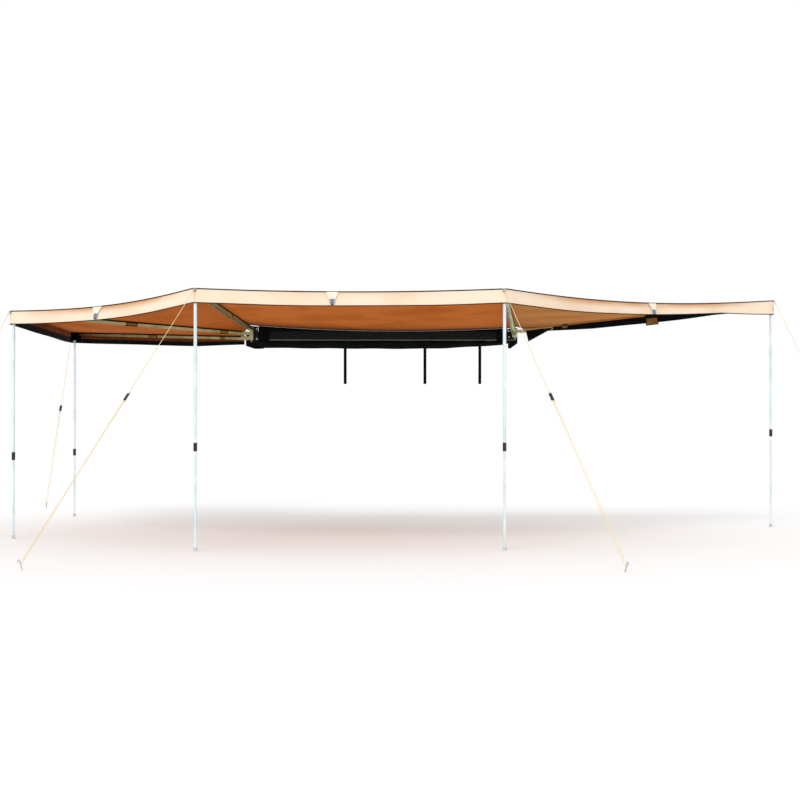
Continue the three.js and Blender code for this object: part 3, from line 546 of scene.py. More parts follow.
class Finish:
    """A material under making: its shader and the nodes that feed it."""

    def __init__(self, name, color, roughness, metallic=0.0, sheen=0.5):
        self.material = bpy.data.materials.new(name)
        self.material.use_nodes = True
        self.tree = self.material.node_tree
        self.shader = self.tree.nodes["Principled BSDF"]
        self.shader.inputs["Base Color"].default_value = color
        self.shader.inputs["Roughness"].default_value = roughness
        self.shader.inputs["Metallic"].default_value = metallic
        self.shader.inputs["Specular IOR Level"].default_value = sheen

    def node(self, kind, **values):
        made = self.tree.nodes.new(kind)
        for key, value in values.items():
            if key in made.inputs:
                made.inputs[key].default_value = value
            else:
                setattr(made, key, value)
        return made

    def link(self, output, socket):
        self.tree.links.new(output, socket)

    def place(self, scale=(1, 1, 1), source="Object", turn=(0, 0, 0)):
        """Coordinates on the piece, in metres, or on its own unwrapped cloth."""
        coordinates = self.node("ShaderNodeTexCoord")
        mapping = self.node("ShaderNodeMapping")
        mapping.inputs["Scale"].default_value = scale
        mapping.inputs["Rotation"].default_value = turn
        self.link(coordinates.outputs[source], mapping.inputs["Vector"])
        return mapping.outputs["Vector"]

    def part(self, source, axis):
        """One of the three parts of a place."""
        made = self.node("ShaderNodeSeparateXYZ")
        self.link(source, made.inputs[0])
        return made.outputs[axis]

    def cloud(self, scale, detail=3.0, where=None, distortion=0.0):
        made = self.node("ShaderNodeTexNoise", Scale=scale, Detail=detail, Distortion=distortion)
        self.link(where or self.place(), made.inputs["Vector"])
        return made.outputs["Fac"]

    def stripes(self, scale, where, direction="X"):
        made = self.node("ShaderNodeTexWave", Scale=scale)
        made.bands_direction = direction
        self.link(where, made.inputs["Vector"])
        return made.outputs["Fac"]

    def ramp(self, source, low, high):
        """A value that goes from 0 to 1 as its source goes from low to high."""
        made = self.node("ShaderNodeMapRange", interpolation_type="SMOOTHSTEP")
        made.inputs["From Min"].default_value = low
        made.inputs["From Max"].default_value = high
        self.link(source, made.inputs["Value"])
        return made.outputs["Result"]

    def math(self, operation, first, second):
        made = self.node("ShaderNodeMath", operation=operation)
        for socket, value in zip(made.inputs, (first, second)):
            if isinstance(value, (int, float)):
                socket.default_value = value
            else:
                self.link(value, socket)
        return made.outputs["Value"]

    def between(self, share, first, second):
        """A colour between two colours or sockets, by a share."""
        made = self.node("ShaderNodeMix", data_type="RGBA")
        for socket, value in ((made.inputs[6], first), (made.inputs[7], second)):
            if isinstance(value, list):
                socket.default_value = value
            else:
                self.link(value, socket)
        self.link(share, made.inputs["Factor"])
        return made.outputs[2]

    def color(self, source):
        self.link(source, self.shader.inputs["Base Color"])

    def rough(self, source, low, high):
        made = self.node("ShaderNodeMapRange")
        made.inputs["To Min"].default_value = low
        made.inputs["To Max"].default_value = high
        self.link(source, made.inputs["Value"])
        self.link(made.outputs["Result"], self.shader.inputs["Roughness"])

    def bump(self, height, strength, distance):
        """Adds a relief to those that the shader has already."""
        made = self.node("ShaderNodeBump", Strength=strength, Distance=distance)
        self.link(height, made.inputs["Height"])
        linked = self.shader.inputs["Normal"].links
        if linked:
            self.link(linked[0].from_socket, made.inputs["Normal"])
        self.link(made.outputs["Normal"], self.shader.inputs["Normal"])


weave_scale = 190
stitch_scale = 52
stitch_rows = (0.006, 0.014)
stitch_half = 0.0008


def canvas(name, color, shade, warm=None, start_shade=None, start_shade_from=-0.12, start_shade_to=0.62):
    """Coated canvas: a fine weave, soft stains, packing creases and two rows of stitches at seams.

    An orange painted shade lies under the top edge, strongest mid-span, and a painted shade darkens the
    cloth at its start."""
    made = Finish(name, color, 0.82, sheen=0.06)
    cloth = made.place(source="UV")
    stain = made.ramp(made.cloud(2.3, 5, cloth, 0.6), 0.4, 0.74)
    mixed = made.between(stain, color, shade)
    if warm:
        # Painted shade under the valance's top edge, as strong as the mesh's attribute says
        top_shade_share = made.node("ShaderNodeAttribute", attribute_name="warmth").outputs["Fac"]
        patch = made.ramp(made.cloud(1.7, 3, made.place((1, 0.01, 1), "UV")), 0.2, 0.55)
        patch = made.math("MULTIPLY", patch, made.ramp(top_shade_share, 0.1, 0.85))
        near_top = made.ramp(made.part(cloth, "Y"), 0.056, -0.006)
        mixed = made.between(made.math("MULTIPLY", patch, near_top), mixed, warm)
    # Painted shade: the cloth darkens towards its start, by the rail on the middle panel and by the hub on
    # the fans
    if start_shade:
        mixed = made.between(made.ramp(made.part(cloth, "Y"), start_shade_from, start_shade_to), start_shade, mixed)
    weft, warp = made.stripes(weave_scale, cloth), made.stripes(weave_scale, cloth, "Y")
    thread = made.math("MULTIPLY", weft, warp)
    grain = made.between(made.math("MULTIPLY", thread, 0.22), mixed, shade)
    seam = made.node("ShaderNodeAttribute", attribute_name="seam_distance").outputs["Fac"]
    rows = []
    for row in stitch_rows:
        off_row = made.math("ABSOLUTE", made.math("SUBTRACT", seam, row), 0)
        rows.append(made.math("LESS_THAN", off_row, stitch_half))
    dash = made.math("GREATER_THAN", made.stripes(stitch_scale, cloth, "Y"), 0.35)
    stitch = made.math("MULTIPLY", made.math("MAXIMUM", *rows), dash)
    made.color(made.between(stitch, grain, shade))
    made.rough(stain, 0.74, 0.9)
    made.bump(made.cloud(5.5, 6, cloth, 1.2), 0.35, 0.01)
    made.bump(thread, 0.25, 0.0004)
    made.bump(made.math("SUBTRACT", 1, stitch), 0.5, 0.0005)
    return made.material


def woven_band(name, color, shade, scale=150):
    """Webbing and tape: ribs across, fine threads along."""
    made = Finish(name, color, 0.8, sheen=0.07)
    cloth = made.place(source="UV")
    ribs = made.stripes(scale, cloth, "Y")
    threads = made.stripes(scale * 1.7, cloth, "X")
    weave = made.math("MULTIPLY", ribs, threads)
    made.color(made.between(made.ramp(made.cloud(18, 4), 0.35, 0.7), color, shade))
    made.rough(weave, 0.7, 0.9)
    made.bump(weave, 0.5, 0.0006)
    return made.material


def brushed(name, color, shade, roughness, along=(3, 260, 260), bump=0.08, metallic=1.0):
    """Drawn or brushed metal with fine lines and a few duller patches."""
    made = Finish(name, color, roughness, metallic)
    lines = made.cloud(1.0, 6, made.place(along))
    patch = made.cloud(7, 3)
    made.color(made.between(made.ramp(patch, 0.35, 0.75), color, shade))
    made.rough(made.math("MULTIPLY", lines, patch), roughness - 0.08, roughness + 0.45)
    made.bump(lines, bump, 0.0003)
    return made.material


def moulded(name, color, shade, roughness, grain=900, sheen=0.5):
    """Moulded plastic or powder coat with a fine grain and scuffed places."""
    made = Finish(name, color, roughness, sheen=sheen)
    scuff = made.ramp(made.cloud(30, 5), 0.45, 0.75)
    made.color(made.between(scuff, color, shade))
    made.rough(scuff, roughness, min(roughness + 0.25, 1))
    made.bump(made.cloud(grain, 2), 0.12, 0.0003)
    return made.material


cream = tone(248, 227, 203)
cream_shade = tone(240, 214, 186)
# The orange of the painted shade under the valances' top edge
cream_top_shade = tone(206, 140, 82)
beige = tone(236, 214, 182)
beige_shade = tone(229, 206, 172)
brown = tone(190, 102, 18)
brown_shade = tone(170, 88, 12)
# A lighter, painted-light copy of the underside's brown, for the nose fan and the tape beside it
tan_brown = tone(184, 122, 58)
tan_shade = tone(166, 106, 46)

canvas_top = canvas("canvas_top", beige, beige_shade)
# The fans' underside, with a gentle painted shade near the hub
canvas_under = canvas(
    "canvas_under", tone(178, 92, 12), tone(160, 80, 8), start_shade=tone(146, 72, 10), start_shade_from=-0.3
)
# The middle panel's underside, with a strong painted shade near the rail
canvas_under_middle = canvas(
    "canvas_under_middle", brown, brown_shade, start_shade=tone(70, 30, 4), start_shade_from=-0.02, start_shade_to=0.75
)
# Painted light: the nose fan's underside is a lighter copy of the brown, with a painted shade at its start
canvas_under_lit = canvas("canvas_under_lit", tan_brown, tan_shade, start_shade=tone(130, 76, 26))
valance_outside = canvas("valance_outside", cream, cream_shade, cream_top_shade)
valance_inside = canvas("valance_inside", tone(116, 58, 14), tone(96, 46, 10))
hem_tape = woven_band("hem_tape", tone(8, 9, 12), tone(18, 20, 24))
piping_top = woven_band("piping_top", tone(40, 30, 24), tone(24, 18, 16), 220)
piping_foot = woven_band("piping_foot", tone(18, 20, 28), tone(30, 33, 42), 220)
webbing = woven_band("webbing", tone(6, 6, 8), tone(20, 20, 22))
tan_tape = woven_band("tan_tape", tone(150, 112, 70), tone(126, 92, 56))
patch_cloth = woven_band("patch_cloth", tone(5, 8, 9), tone(14, 18, 20), 240)

# Cloth between two arms


def rail_edge_end(hub):
    return hubs[hub]["pin_top"] + cloth_thickness + cloth_clearance


def cover_over_hub(name, radius):
    """How far the cloth rides over the fork on the arm that lies low in the front hub."""
    if name != "side_front":
        return 0
    needed = max(rail_edge_end("front") - arm_top(arms[name], cloth_start), 0)
    fade = min((radius - cloth_start) / hub_cover_length, 1)
    return needed * (1 - fade) ** 2


row_shares = [0, 0.12, 0.26, 0.42, 0.58, 0.72, 0.84, 0.93]


def arm_edge(name, side):
    """The seam and margin points of one arm's edge, row by row, on its left or right side."""
    arm = arms[name]
    hub = hubs[arm["hub"]]
    notch = reach_of(arm) + cloth_notch_start
    end = reach_of(arm) + cloth_edge
    rows = [(cloth_start + s * (notch - cloth_start), cloth_seam_gap) for s in row_shares]
    rows += [(notch - cloth_notch, cloth_seam_gap), (notch, cloth_notch), (end, cloth_notch)]
    edge = []
    for radius, set_back in rows:
        lift = cloth_lift + cloth_thickness + cover_over_hub(name, radius)
        start = Vector((hub["x"], hub["y"], arm_top(arm, radius) + lift))
        line = start + unit(arm["bearing"]) * radius
        across = unit(arm["bearing"] + 90) * side
        margin = line + across * (channel_width / 2 + cloth_thickness)
        share = (radius - cloth_start) / (end - cloth_start)
        edge.append({"share": share, "seam": line + across * set_back, "margin": margin})
    return edge


def finer(edge):
    """The same edge with more rows, but where they lie close together already."""
    rows = []
    for before, after in zip(edge, edge[1:]):
        count = edge_steps if (after["seam"] - before["seam"]).length > edge_short else 1
        for i in range(count):
            t = i / count
            rows.append(
                {
                    "share": before["share"] + (after["share"] - before["share"]) * t,
                    "seam": before["seam"].lerp(after["seam"], t),
                    "margin": before["margin"].lerp(after["margin"], t),
                }
            )
    rows.append(edge[-1])
    return rows


def margin_at(edge, share):
    row = 1
    while row + 1 < len(edge) and edge[row]["share"] < share:
        row += 1
    before, after = edge[row - 1], edge[row]
    part = (share - before["share"]) / (after["share"] - before["share"])
    return before["margin"].lerp(after["margin"], part)


tension_height, tension_folds = 0.0045, 7


def tension(u, depth, phase):
    """Shallow folds that run in from the cloth's corners and die out towards the hub."""
    reach = depth**2 * (1 - depth) ** 0.35
    edge = (4 * u * (1 - u)) ** 0.6
    across = math.sin(tension_folds * math.pi * u + phase)
    wave = across * math.sin(2.3 * math.pi * depth + 3 * u + phase)
    return tension_height * wave * reach * edge


def cloth_rows(left, right, cells, pull_in, sag_at, phase):
    """Rows of points across the cloth, from the inner edge out to the rim."""
    rows = []
    for a, b in zip(left, right):
        depth = a["share"]
        line = [a["seam"].copy()]
        for cell in range(cells + 1):
            u = cell / cells
            bow = 4 * u * (1 - u)
            pulled = depth * (1 - pull_in * bow * depth)
            point = margin_at(left, pulled).lerp(margin_at(right, pulled), u)
            point.z += tension(u, depth, phase) - sag_at(depth) * bow
            line.append(point)
        line.append(b["seam"].copy())
        rows.append(line)
    return rows


def between(values, share):
    """A value read between the stations of a list, at a share of its length."""
    place = min(max(share, 0), 1) * (len(values) - 1)
    index = min(int(place), len(values) - 2)
    return values[index] + (values[index + 1] - values[index]) * (place - index)


valance_steps = 8
valance_still_end = 0.25
valance_wave = 0.0016
valance_belly = 0.0012
valance_lift = 0.0012


def valance_rows(rim, out, phase, drops=(1, 1)):
    """Rows of points down the valance, which swings out a little towards its foot."""
    rows = []
    runs = runs_along(rim)
    for step in range(1, valance_steps + 1):
        share = step / valance_steps
        row = []
        for point, at in zip(rim, runs):
            ends = min(min(at, runs[-1] - at) / valance_still_end, 1)
            wave = math.sin(at * 9.5 + phase) + 0.6 * math.sin(at * 23 + 2 * phase)
            belly = valance_belly * math.sin(math.pi * share)
            swing = (valance_wave * wave * share**1.4 + belly) * ends
            lift = valance_lift * math.sin(at * 6 + phase) * share * ends
            down = share * valance_drop * between(drops, at / runs[-1])
            row.append(point + out * swing + Vector((0, 0, lift - down)))
        rows.append(row)
    return rows


# Places in the cloth's list of materials; the inner face of a sheet takes the next one
upper_valance, lower_valance, rim_piping, foot_piping = 2, 4, 6, 7


def run_down(rows, rim_row):
    """How far down the cloth each row lies, counted again from the rim on."""
    middle = len(rows[0]) // 2
    along = [0]
    for r in range(1, len(rows)):
        step = (rows[r][middle] - rows[r - 1][middle]).length
        along.append(0 if r == rim_row else along[-1] + step)
    return along


def cloth_object(
    name,
    rows,
    drop,
    under,
    corners=(),
    dark=0,
    starts=None,
    open_sides=(),
    warmth=None,
    upper_rows=4,
):
    """One sheet with its valance, given its thickness, and unwrapped in metres.

    Corners are the columns whose valance runs on round a corner, each with its turn. Inside, the
    valance is lined with tape below its upper rows and over its last, dark columns."""
    total = rows + drop
    columns = len(rows[0])
    rim_row = len(rows) - 1
    vertices = [point for row in total for point in row]
    faces = grid_faces(len(total), columns)
    sheet_points, sheet_faces = len(vertices), len(faces)
    corner_points, corner_faces = [], []
    for column, turn in corners:
        for r in range(rim_row + 2, len(total)):
            if r > rim_row + 2:
                a, b = (r - 1) * columns + column, r * columns + column
                c = len(vertices) - 1
                faces.append((a, b, c + 1, c) if column else (a, c, c + 1, b))
                corner_faces.append((r - 1, min(column, columns - 2)))
            vertices.append(vertices[r * columns + column] + turn)
            corner_points.append((r, column, turn.length))
    piece = object_of(name, vertices, faces)
    finish_with(
        piece,
        canvas_top,
        under,
        valance_outside,
        valance_inside,
        valance_outside,
        hem_tape,
        piping_top,
        piping_foot,
    )
    mesh = piece.data
    unwrapped = mesh.uv_layers.new(name="cloth")
    seam = mesh.attributes.new("seam_distance", "FLOAT", "POINT")
    # How strong the painted shade under the top edge is, column by column
    top_shade_share = mesh.attributes.new("warmth", "FLOAT", "POINT")
    if warmth is None:
        warmth = [4 * c * (columns - 1 - c) / (columns - 1) ** 2 for c in range(columns)]
    along = run_down(total, rim_row)
    across = [runs_along(row, starts[r] if starts else 0) for r, row in enumerate(total)]
    for r, row in enumerate(total):
        for c in range(columns):
            sides = (across[r][c] - across[r][0], across[r][-1] - across[r][c])
            edge = min(side for i, side in enumerate(sides) if i not in open_sides)
            if r <= rim_row:
                edge = min(edge, (rows[-1][c] - row[c]).length)
            seam.data[r * columns + c].value = edge
            top_shade_share.data[r * columns + c].value = warmth[c]
    for polygon in mesh.polygons:
        row, column = divmod(polygon.index, columns - 1)
        if polygon.index >= sheet_faces:
            row, column = corner_faces[polygon.index - sheet_faces]
        if row >= rim_row:
            upper = row < rim_row + upper_rows and column < columns - 1 - dark
            polygon.material_index = upper_valance if upper else lower_valance
        for loop_index in polygon.loop_indices:
            vertex = mesh.loops[loop_index].vertex_index
            if vertex >= sheet_points:
                r, c, past = corner_points[vertex - sheet_points]
                u = across[r][c] + (past if c else -past)
                unwrapped.data[loop_index].uv = (u, along[r])
                continue
            r, c = divmod(vertex, columns)
            v = along[r]
            if r == rim_row and row < rim_row:
                v = along[r - 1] + (rows[-1][c] - rows[-2][c]).length
            unwrapped.data[loop_index].uv = (across[r][c], v)
    for index in range(sheet_points, len(vertices)):
        seam.data[index].value = corner_seam
    if mesh.polygons[0].normal.z < 0:
        edit(piece)
        bpy.ops.mesh.select_all(action="SELECT")
        bpy.ops.mesh.flip_normals()
        leave_edit()
    thicken(piece, sheet_thickness, -1, 1)
    shade_smooth(piece, 60)
    return piece


def piping(name, line, radius, material_index, piece):
    """A cord sewn along an edge of the cloth."""
    cord = tube_object(name, line, radius, 8)
    for material in piece.data.materials:
        cord.data.materials.append(material)
    for polygon in cord.data.polygons:
        polygon.material_index = material_index
    cord.data.uv_layers[0].name = "cloth"
    return cord


rim_piping_radius, rim_piping_out, rim_piping_lift = 0.004, 0.0004, 0.0008
foot_piping_radius, foot_piping_in, foot_piping_lift = 0.0034, 0.0006, 0.0004
piping_short = 0.55


def add_piping(piece, rim, foot, out, capped=()):
    """Sews on both cords; the upper one stops short of the caps on the arms' ends."""
    lifted = [point + out * rim_piping_out + Vector((0, 0, rim_piping_lift)) for point in rim]
    for end, beside in capped:
        lifted[end] = lifted[end].lerp(lifted[beside], piping_short)
    lowered = [point - out * foot_piping_in + Vector((0, 0, foot_piping_lift)) for point in foot]
    top = piping(piece.name + "_rim", lifted, rim_piping_radius, rim_piping, piece)
    low = piping(piece.name + "_foot", lowered, foot_piping_radius, foot_piping, piece)
    return join_pieces(piece.name, [piece, top, low])


# How each cloth folds: its hub, the arm of its still edge, or none for the rail, and its moving arm
folds = {
    "rear": ("rear", "side_rear", "rear"),
    "tail": ("rear", "rear", "tail"),
    "nose": ("front", "side_front", "nose"),
    "middle_front": ("front", None, "side_front"),
    "middle_rear": ("rear", None, "side_rear"),
}

# How folded cloth is eased: its sides kept apart and its leaf bent, in metres; the share from an
# edge over which that fades in; the facing that counts as full; the nearest radius that counts
fold_apart = 0.0015
fold_leaf = 0.007
fold_fade = 0.06
fold_facing = 0.05
fold_nearest = 0.3


def fold_with(piece, panel):
    """The cloth folds like a fan: a point turns by its share of the angle between the two edges.

    The share is eased by a few millimetres, so that folded cloth lies as a thin leaf and keeps
    its two sides apart."""
    hub_name, still_arm, moving_arm = folds[panel]
    hub = hubs[hub_name]
    still = still_arm + "_arm" if still_arm else "root"
    moving = moving_arm + "_arm"
    still_bearing = arms[still_arm]["bearing"] if still_arm else hub["rail_bearing"]
    moving_bearing = arms[moving_arm]["bearing"]
    centre = Vector((hub["x"], hub["y"], 0))
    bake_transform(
        piece,
        still,
        moving,
        start=centre + unit(still_bearing),
        end=centre + unit(moving_bearing),
    )
    span = moving_bearing - still_bearing
    middle = span / 2
    weights = piece.data.attributes["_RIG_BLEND"].data
    for vertex, weight in zip(piece.data.vertices, weights):
        place = vertex.co - centre
        turn = math.degrees(math.atan2(place.y, place.x)) - still_bearing
        turn = (turn - middle + 180) % 360 - 180 + middle
        share = min(max(turn / span, 0), 1)
        around = Vector((-place.y, place.x, 0)).normalized()
        facing = min(max(around.dot(vertex.normal) / fold_facing, -1), 1)
        fade = min(share / fold_fade, (1 - share) / fold_fade, 1)
        leaf = -math.copysign(fold_leaf, span) * math.sin(2 * math.pi * share)
        aside = (fold_apart * facing * fade + leaf) / max(place.xy.length, fold_nearest)
        weight.value = min(max(share - math.degrees(aside) / span, 0), 1)


def outwards_of(rim):
    chord = rim[-1] - rim[0]
    return Vector((-chord.y, chord.x, 0)).normalized()


def corner_turn(name, side):
    """How far the foot of a valance runs on past the notch to the middle of an arm's end."""
    return unit(arms[name]["bearing"] + 90) * -side * (cloth_notch - cloth_seam_gap)


def foot_line(foot, corners):
    """The valance's lower edge with its runs round the corners."""
    line = list(foot)
    for column, turn in corners:
        if column:
            line.append(foot[-1] + turn)
        else:
            line.insert(0, foot[0] + turn)
    return line


def fan(name, first, second, cells, under, phase, dark=0, drops=(1, 1)):
    """One fan of cloth from an arm to the next one clockwise, with its valance and piping."""
    left, right = finer(arm_edge(first, -1)), finer(arm_edge(second, 1))
    span = (left[-1]["seam"] - right[-1]["seam"]).length
    rows = cloth_rows(left, right, cells, fan_pull_in, lambda share: fan_sag * span * share, phase)
    rim = rows[-1]
    out = outwards_of(rim)
    hub = hubs[arms[first]["hub"]]
    if out.dot(rim[cells // 2] - Vector((hub["x"], hub["y"], 0))) < 0:
        out.negate()
    drop = valance_rows(rim, out, phase, drops)
    corners = ((0, corner_turn(first, -1)), (len(rim) - 1, corner_turn(second, 1)))
    piece = cloth_object(name, rows, drop, under, corners, dark)
    piece = add_piping(piece, rim, foot_line(drop[-1], corners), out, ((0, 1), (-1, -2)))
    return piece, rim, out


fans = {
    "rear": {
        "first": "side_rear",
        "second": "rear",
        "cells": 40,
        "under": canvas_under,
        "phase": 0.4,
    },
    "tail": {
        "first": "rear",
        "second": "tail",
        "cells": 44,
        "under": canvas_under,
        "phase": 1.9,
        "dark": 2,
    },
    "nose": {
        "first": "nose",
        "second": "side_front",
        "cells": 52,
        "under": canvas_under_lit,
        "phase": 3.1,
        "drops": (1.17, 0.84, 0.87, 0.95, 1, 1),
    },
}
rims = {}
for name, values in fans.items():
    piece, rim, out = fan("canopy_cloth_" + name, **values)
    first, second = values["first"], values["second"]
    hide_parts("canopy_" + name)
    width = length_of(rim)
    fold_with(piece, name)
    rims[name] = (rim, out)


def middle_rows(cells):
    """The middle panel's rows, from the strip on the rail out between the two side arms."""
    edges = []
    for name, side, hub_name in (("side_front", -1, "front"), ("side_rear", 1, "rear")):
        hub = hubs[hub_name]
        x = hub["x"] + hub["side"] * rail_corner_out
        start = Vector((x, keder_y, rail_edge_end(hub_name)))
        margin = start + Vector((hub["side"] * channel_width / 2, 0, 0))
        edge = arm_edge(name, side)
        for key in ("seam", "margin"):
            edge[0][key].z = max(edge[0][key].z, rail_edge_end(hub_name))
        edge = [{"share": 0, "seam": start, "margin": margin}] + edge
        for i, row in enumerate(edge):
            row["share"] = i / (len(edge) - 1)
        edges.append(finer(edge))
    ends = (rail_edge_end("rear") + rail_edge_end("front")) / 2
    rail_sag = ends - rail_top - rail_cloth_gap - cloth_thickness

    def sag(share):
        return rail_sag + (side_sag - rail_sag) * share

    return cloth_rows(edges[0], edges[1], cells, 0, sag, 5.0)


middle_cells = 56
rows = middle_rows(middle_cells)
rim = rows[-1]
out = outwards_of(rim)
if out.y > 0:
    out.negate()
drop = valance_rows(rim, out, 2.2)
half = middle_cells // 2 + 1
last_column = middle_cells + 2
# The middle panel's painted shade under the top edge is weaker than on the fans
warmth = [1.4 * c * (last_column - c) / last_column**2 for c in range(last_column + 1)]
for name, part in (("front", slice(0, half + 1)), ("rear", slice(half, None))):
    part_rows = [row[part] for row in rows]
    part_drop = [row[part] for row in drop]
    side = -1 if name == "front" else 1
    column = 0 if name == "front" else len(part_rows[0]) - 1
    corners = ((column, corner_turn("side_" + name, side)),)
    starts = [length_of(row[: part.start + 1]) for row in rows + drop] if part.start else None
    piece = cloth_object(
        "canopy_cloth_middle_" + name,
        part_rows,
        part_drop,
        canvas_under_middle,
        corners,
        starts=starts,
        warmth=warmth[part],
        open_sides=(1,) if name == "front" else (0,),
    )
    capped = ((0, 1),) if name == "front" else ((-1, -2),)
    piece = add_piping(piece, part_rows[-1], foot_line(part_drop[-1], corners), out, capped)
    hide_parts("canopy_middle")
    width = length_of(part_rows[-1])
    fold_with(piece, "middle_" + name)
rims["middle"] = (rim, out)
middle_rail_line = rows[0]

# The cloth strip that holds the middle panel in the rail's groove

strip_steps, strip_pucker = 8, 0.0009
strip_low = rail_top - keder_groove + rest_gap
strip_rows = []
for step in range(strip_steps + 1):
    share = step / strip_steps
    row = []
    for point in middle_rail_line[1:-1]:
        high = point.z - cloth_thickness - rest_gap
        pucker = strip_pucker * math.sin(point.x * 47) * math.sin(math.pi * share)
        place = strip_low + (high - strip_low) * share
        row.append(Vector((point.x, keder_y + pucker, place)))
    strip_rows.append(row)
columns = len(strip_rows[0])
strip = object_of(
    "rail_strip_cloth",
    [point for row in strip_rows for point in row],
    grid_faces(len(strip_rows), columns, turned=True),
)
thicken(strip, cloth_thickness)
shade_smooth(strip, 50)
finish_with(strip, patch_cloth)
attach(strip, "root")
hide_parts("keder_strip")

# Valances on the two end arms, over half of the arm's top and down its outer side

pin_head = 0.002
end_valance_steps = 70

# Each end valance: its side, phase, drops, dark columns, start from the hub, and upper rows
end_valances = {
    "tail": (-1, 0.7, (0.72, 0.97, 1, 1, 1), 3, 0.09, 5),
    "nose": (1, 2.9, (0.3, 0.46, 0.62, 0.66, 0.7, 0.68, 0.6, 0.64, 1.17), 0, 0.15, 4),
}
for name, (side, phase, drops, dark, start, upper_rows) in end_valances.items():
    arm = arms[name]
    frame_of_arm = arm_matrix(name)
    seat = channel_height / 2 + cloth_lift + cloth_thickness
    face = channel_width / 2 + pin_head + rest_gap + cloth_thickness
    first = along_channel(arm, start)
    last = pin_along(arm) + cloth_edge
    steps = [
        first + (last - first) * i / end_valance_steps for i in range(end_valance_steps + 1)
    ]
    rows = [
        [frame_of_arm @ Vector((x, side * y, seat)) for x in steps]
        for y in (cloth_notch, (cloth_notch + face) / 2, face)
    ]
    out = unit(arm["bearing"] + 90) * side
    drop = valance_rows(rows[-1], out, phase, drops)
    corners = ((len(steps) - 1, out * (cloth_seam_gap - face)),)
    piece = cloth_object(
        "end_valance_cloth_" + name, rows, drop, canvas_under, corners, dark, upper_rows=upper_rows
    )
    piece = add_piping(piece, rows[-1], foot_line(drop[-1], corners), out)
    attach(piece, name + "_arm")
    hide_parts("end_valance_" + name)

# The storage bag and its loose straps

bag_heights = [0.062, 0.066, 0.068, 0.07, 0.072, 0.072, 0.066, 0.05, 0.034]
bag_y = (rail_front + rail_back) / 2
bag_start = -hub_span / 2 + bag_end_inset
bag_length = hub_span - 2 * bag_end_inset
bag_seam = 0.002
bag_stations, bag_sides = 110, 36


def bag_point(share, turn):
    """A point of the bag's skin: flat at its two seams, swollen and creased between them."""
    ripple = math.sin(share * 5 * math.pi) ** 2
    half = bag_depth / 2 * (0.88 + 0.12 * ripple)
    down = (1 - math.cos(turn)) / 2
    swell = math.sin(math.pi * down**0.7)
    crease = 0.9 + 0.1 * math.sin(share * 61 + 5 * down) * math.sin(share * 23 + 9 * down)
    side = (turn > 0) - (turn > math.pi - 1e-6) - (turn > math.pi + 1e-6)
    across = (bag_seam + (half - bag_seam) * swell * crease) * side
    sag = 0.0016 * math.sin(share * 37) * down
    from_end = min(share, 1 - share)
    height = between(bag_heights, share) * min(0.35 + 18 * from_end, 1)
    low = rail_base - rest_gap - height * down - sag
    return Vector((bag_start + share * bag_length, bag_y + across, low))


bag = object_of(
    "storage_bag_cloth",
    [
        bag_point(i / bag_stations, 2 * math.pi * k / bag_sides)
        for i in range(bag_stations + 1)
        for k in range(bag_sides)
    ],
    ring_faces(bag_stations + 1, bag_sides)
    + [
        tuple(range(bag_sides)),
        tuple(range(bag_stations * bag_sides, (bag_stations + 1) * bag_sides))[::-1],
    ],
)
face_outwards(bag)
shade_smooth(bag, 50)

bag_skin = Finish("bag_skin", tone(6, 10, 11), 0.6, sheen=0.08)
bag_folds = bag_skin.cloud(9, 6, distortion=1.4)
# Painted sheen: a lighter blue-green colour lies on the crests of the folds
bag_fold_sheen = bag_skin.ramp(bag_folds, 0.4, 0.7)
bag_skin.color(bag_skin.between(bag_fold_sheen, tone(3, 8, 10), tone(14, 22, 24)))
bag_skin.rough(bag_folds, 0.52, 0.8)
bag_skin.bump(bag_folds, 0.5, 0.006)
bag_weft = bag_skin.stripes(170, bag_skin.place())
bag_warp = bag_skin.stripes(170, bag_skin.place(), "Z")
bag_skin.bump(bag_skin.math("MULTIPLY", bag_weft, bag_warp), 0.2, 0.0004)
finish_with(bag, bag_skin.material)
zip_steps, zip_radius = 80, 0.0017
zip_coil = tube_object(
    "bag_zip_coil",
    [
        bag_point(0.02 + 0.96 * i / zip_steps, -0.76 * math.pi) - Vector((0, 0.0004, 0))
        for i in range(zip_steps + 1)
    ],
    zip_radius,
    8,
)
coil = Finish("zip_coil", tone(26, 27, 30), 0.35)
coil_teeth = coil.stripes(130, coil.place(source="UV"))
coil.bump(coil_teeth, 0.9, 0.0008)
coil.rough(coil_teeth, 0.3, 0.6)
finish_with(zip_coil, coil.material)
for piece in (bag, zip_coil):
    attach(piece, "root")
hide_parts("storage_bag")

strap_width = 0.025
strap_thickness = 0.0015
strap_length = 0.372
strap_steps, strap_cells = 60, 4
for name, share in (("rear", -0.29), ("middle", 0.32), ("front", 0.74)):
    middle = share * hub_span / 2
    back = bag_y + bag_depth / 2 + rest_gap
    rows = []
    for i in range(strap_steps + 1):
        run = i / strap_steps
        twist = 0.12 * math.sin(3 * run + share) * run**2
        curl = 0.008 * run**3 + 0.0012 * math.sin(9 * run) * run
        row = []
        for k in range(strap_cells + 1):
            across = (k / strap_cells - 0.5) * strap_width
            x = middle + across * math.cos(twist)
            y = back + curl + abs(across * math.sin(twist))
            row.append(Vector((x, y, rail_base - rest_gap - strap_length * run)))
        rows.append(row)
    strap = object_of(
        "bag_strap_web_" + name,
        [point for row in rows for point in row],
        grid_faces(len(rows), len(rows[0])),
    )
    unwrapped = strap.data.uv_layers.new(name="cloth")
    for loop in strap.data.loops:
        r, c = divmod(loop.vertex_index, strap_cells + 1)
        place = (c / strap_cells * strap_width, r / strap_steps * strap_length)
        unwrapped.data[loop.index].uv = place
    thicken(strap, strap_thickness, -1)
    if min(v.co.y for v in strap.data.vertices) < back - 0.0002:
        strap.data.transform(Matrix.Translation((0, strap_thickness, 0)))
    shade_smooth(strap, 40)
    finish_with(strap, webbing)
    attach(strap, "root")
    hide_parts("bag_strap_" + name)
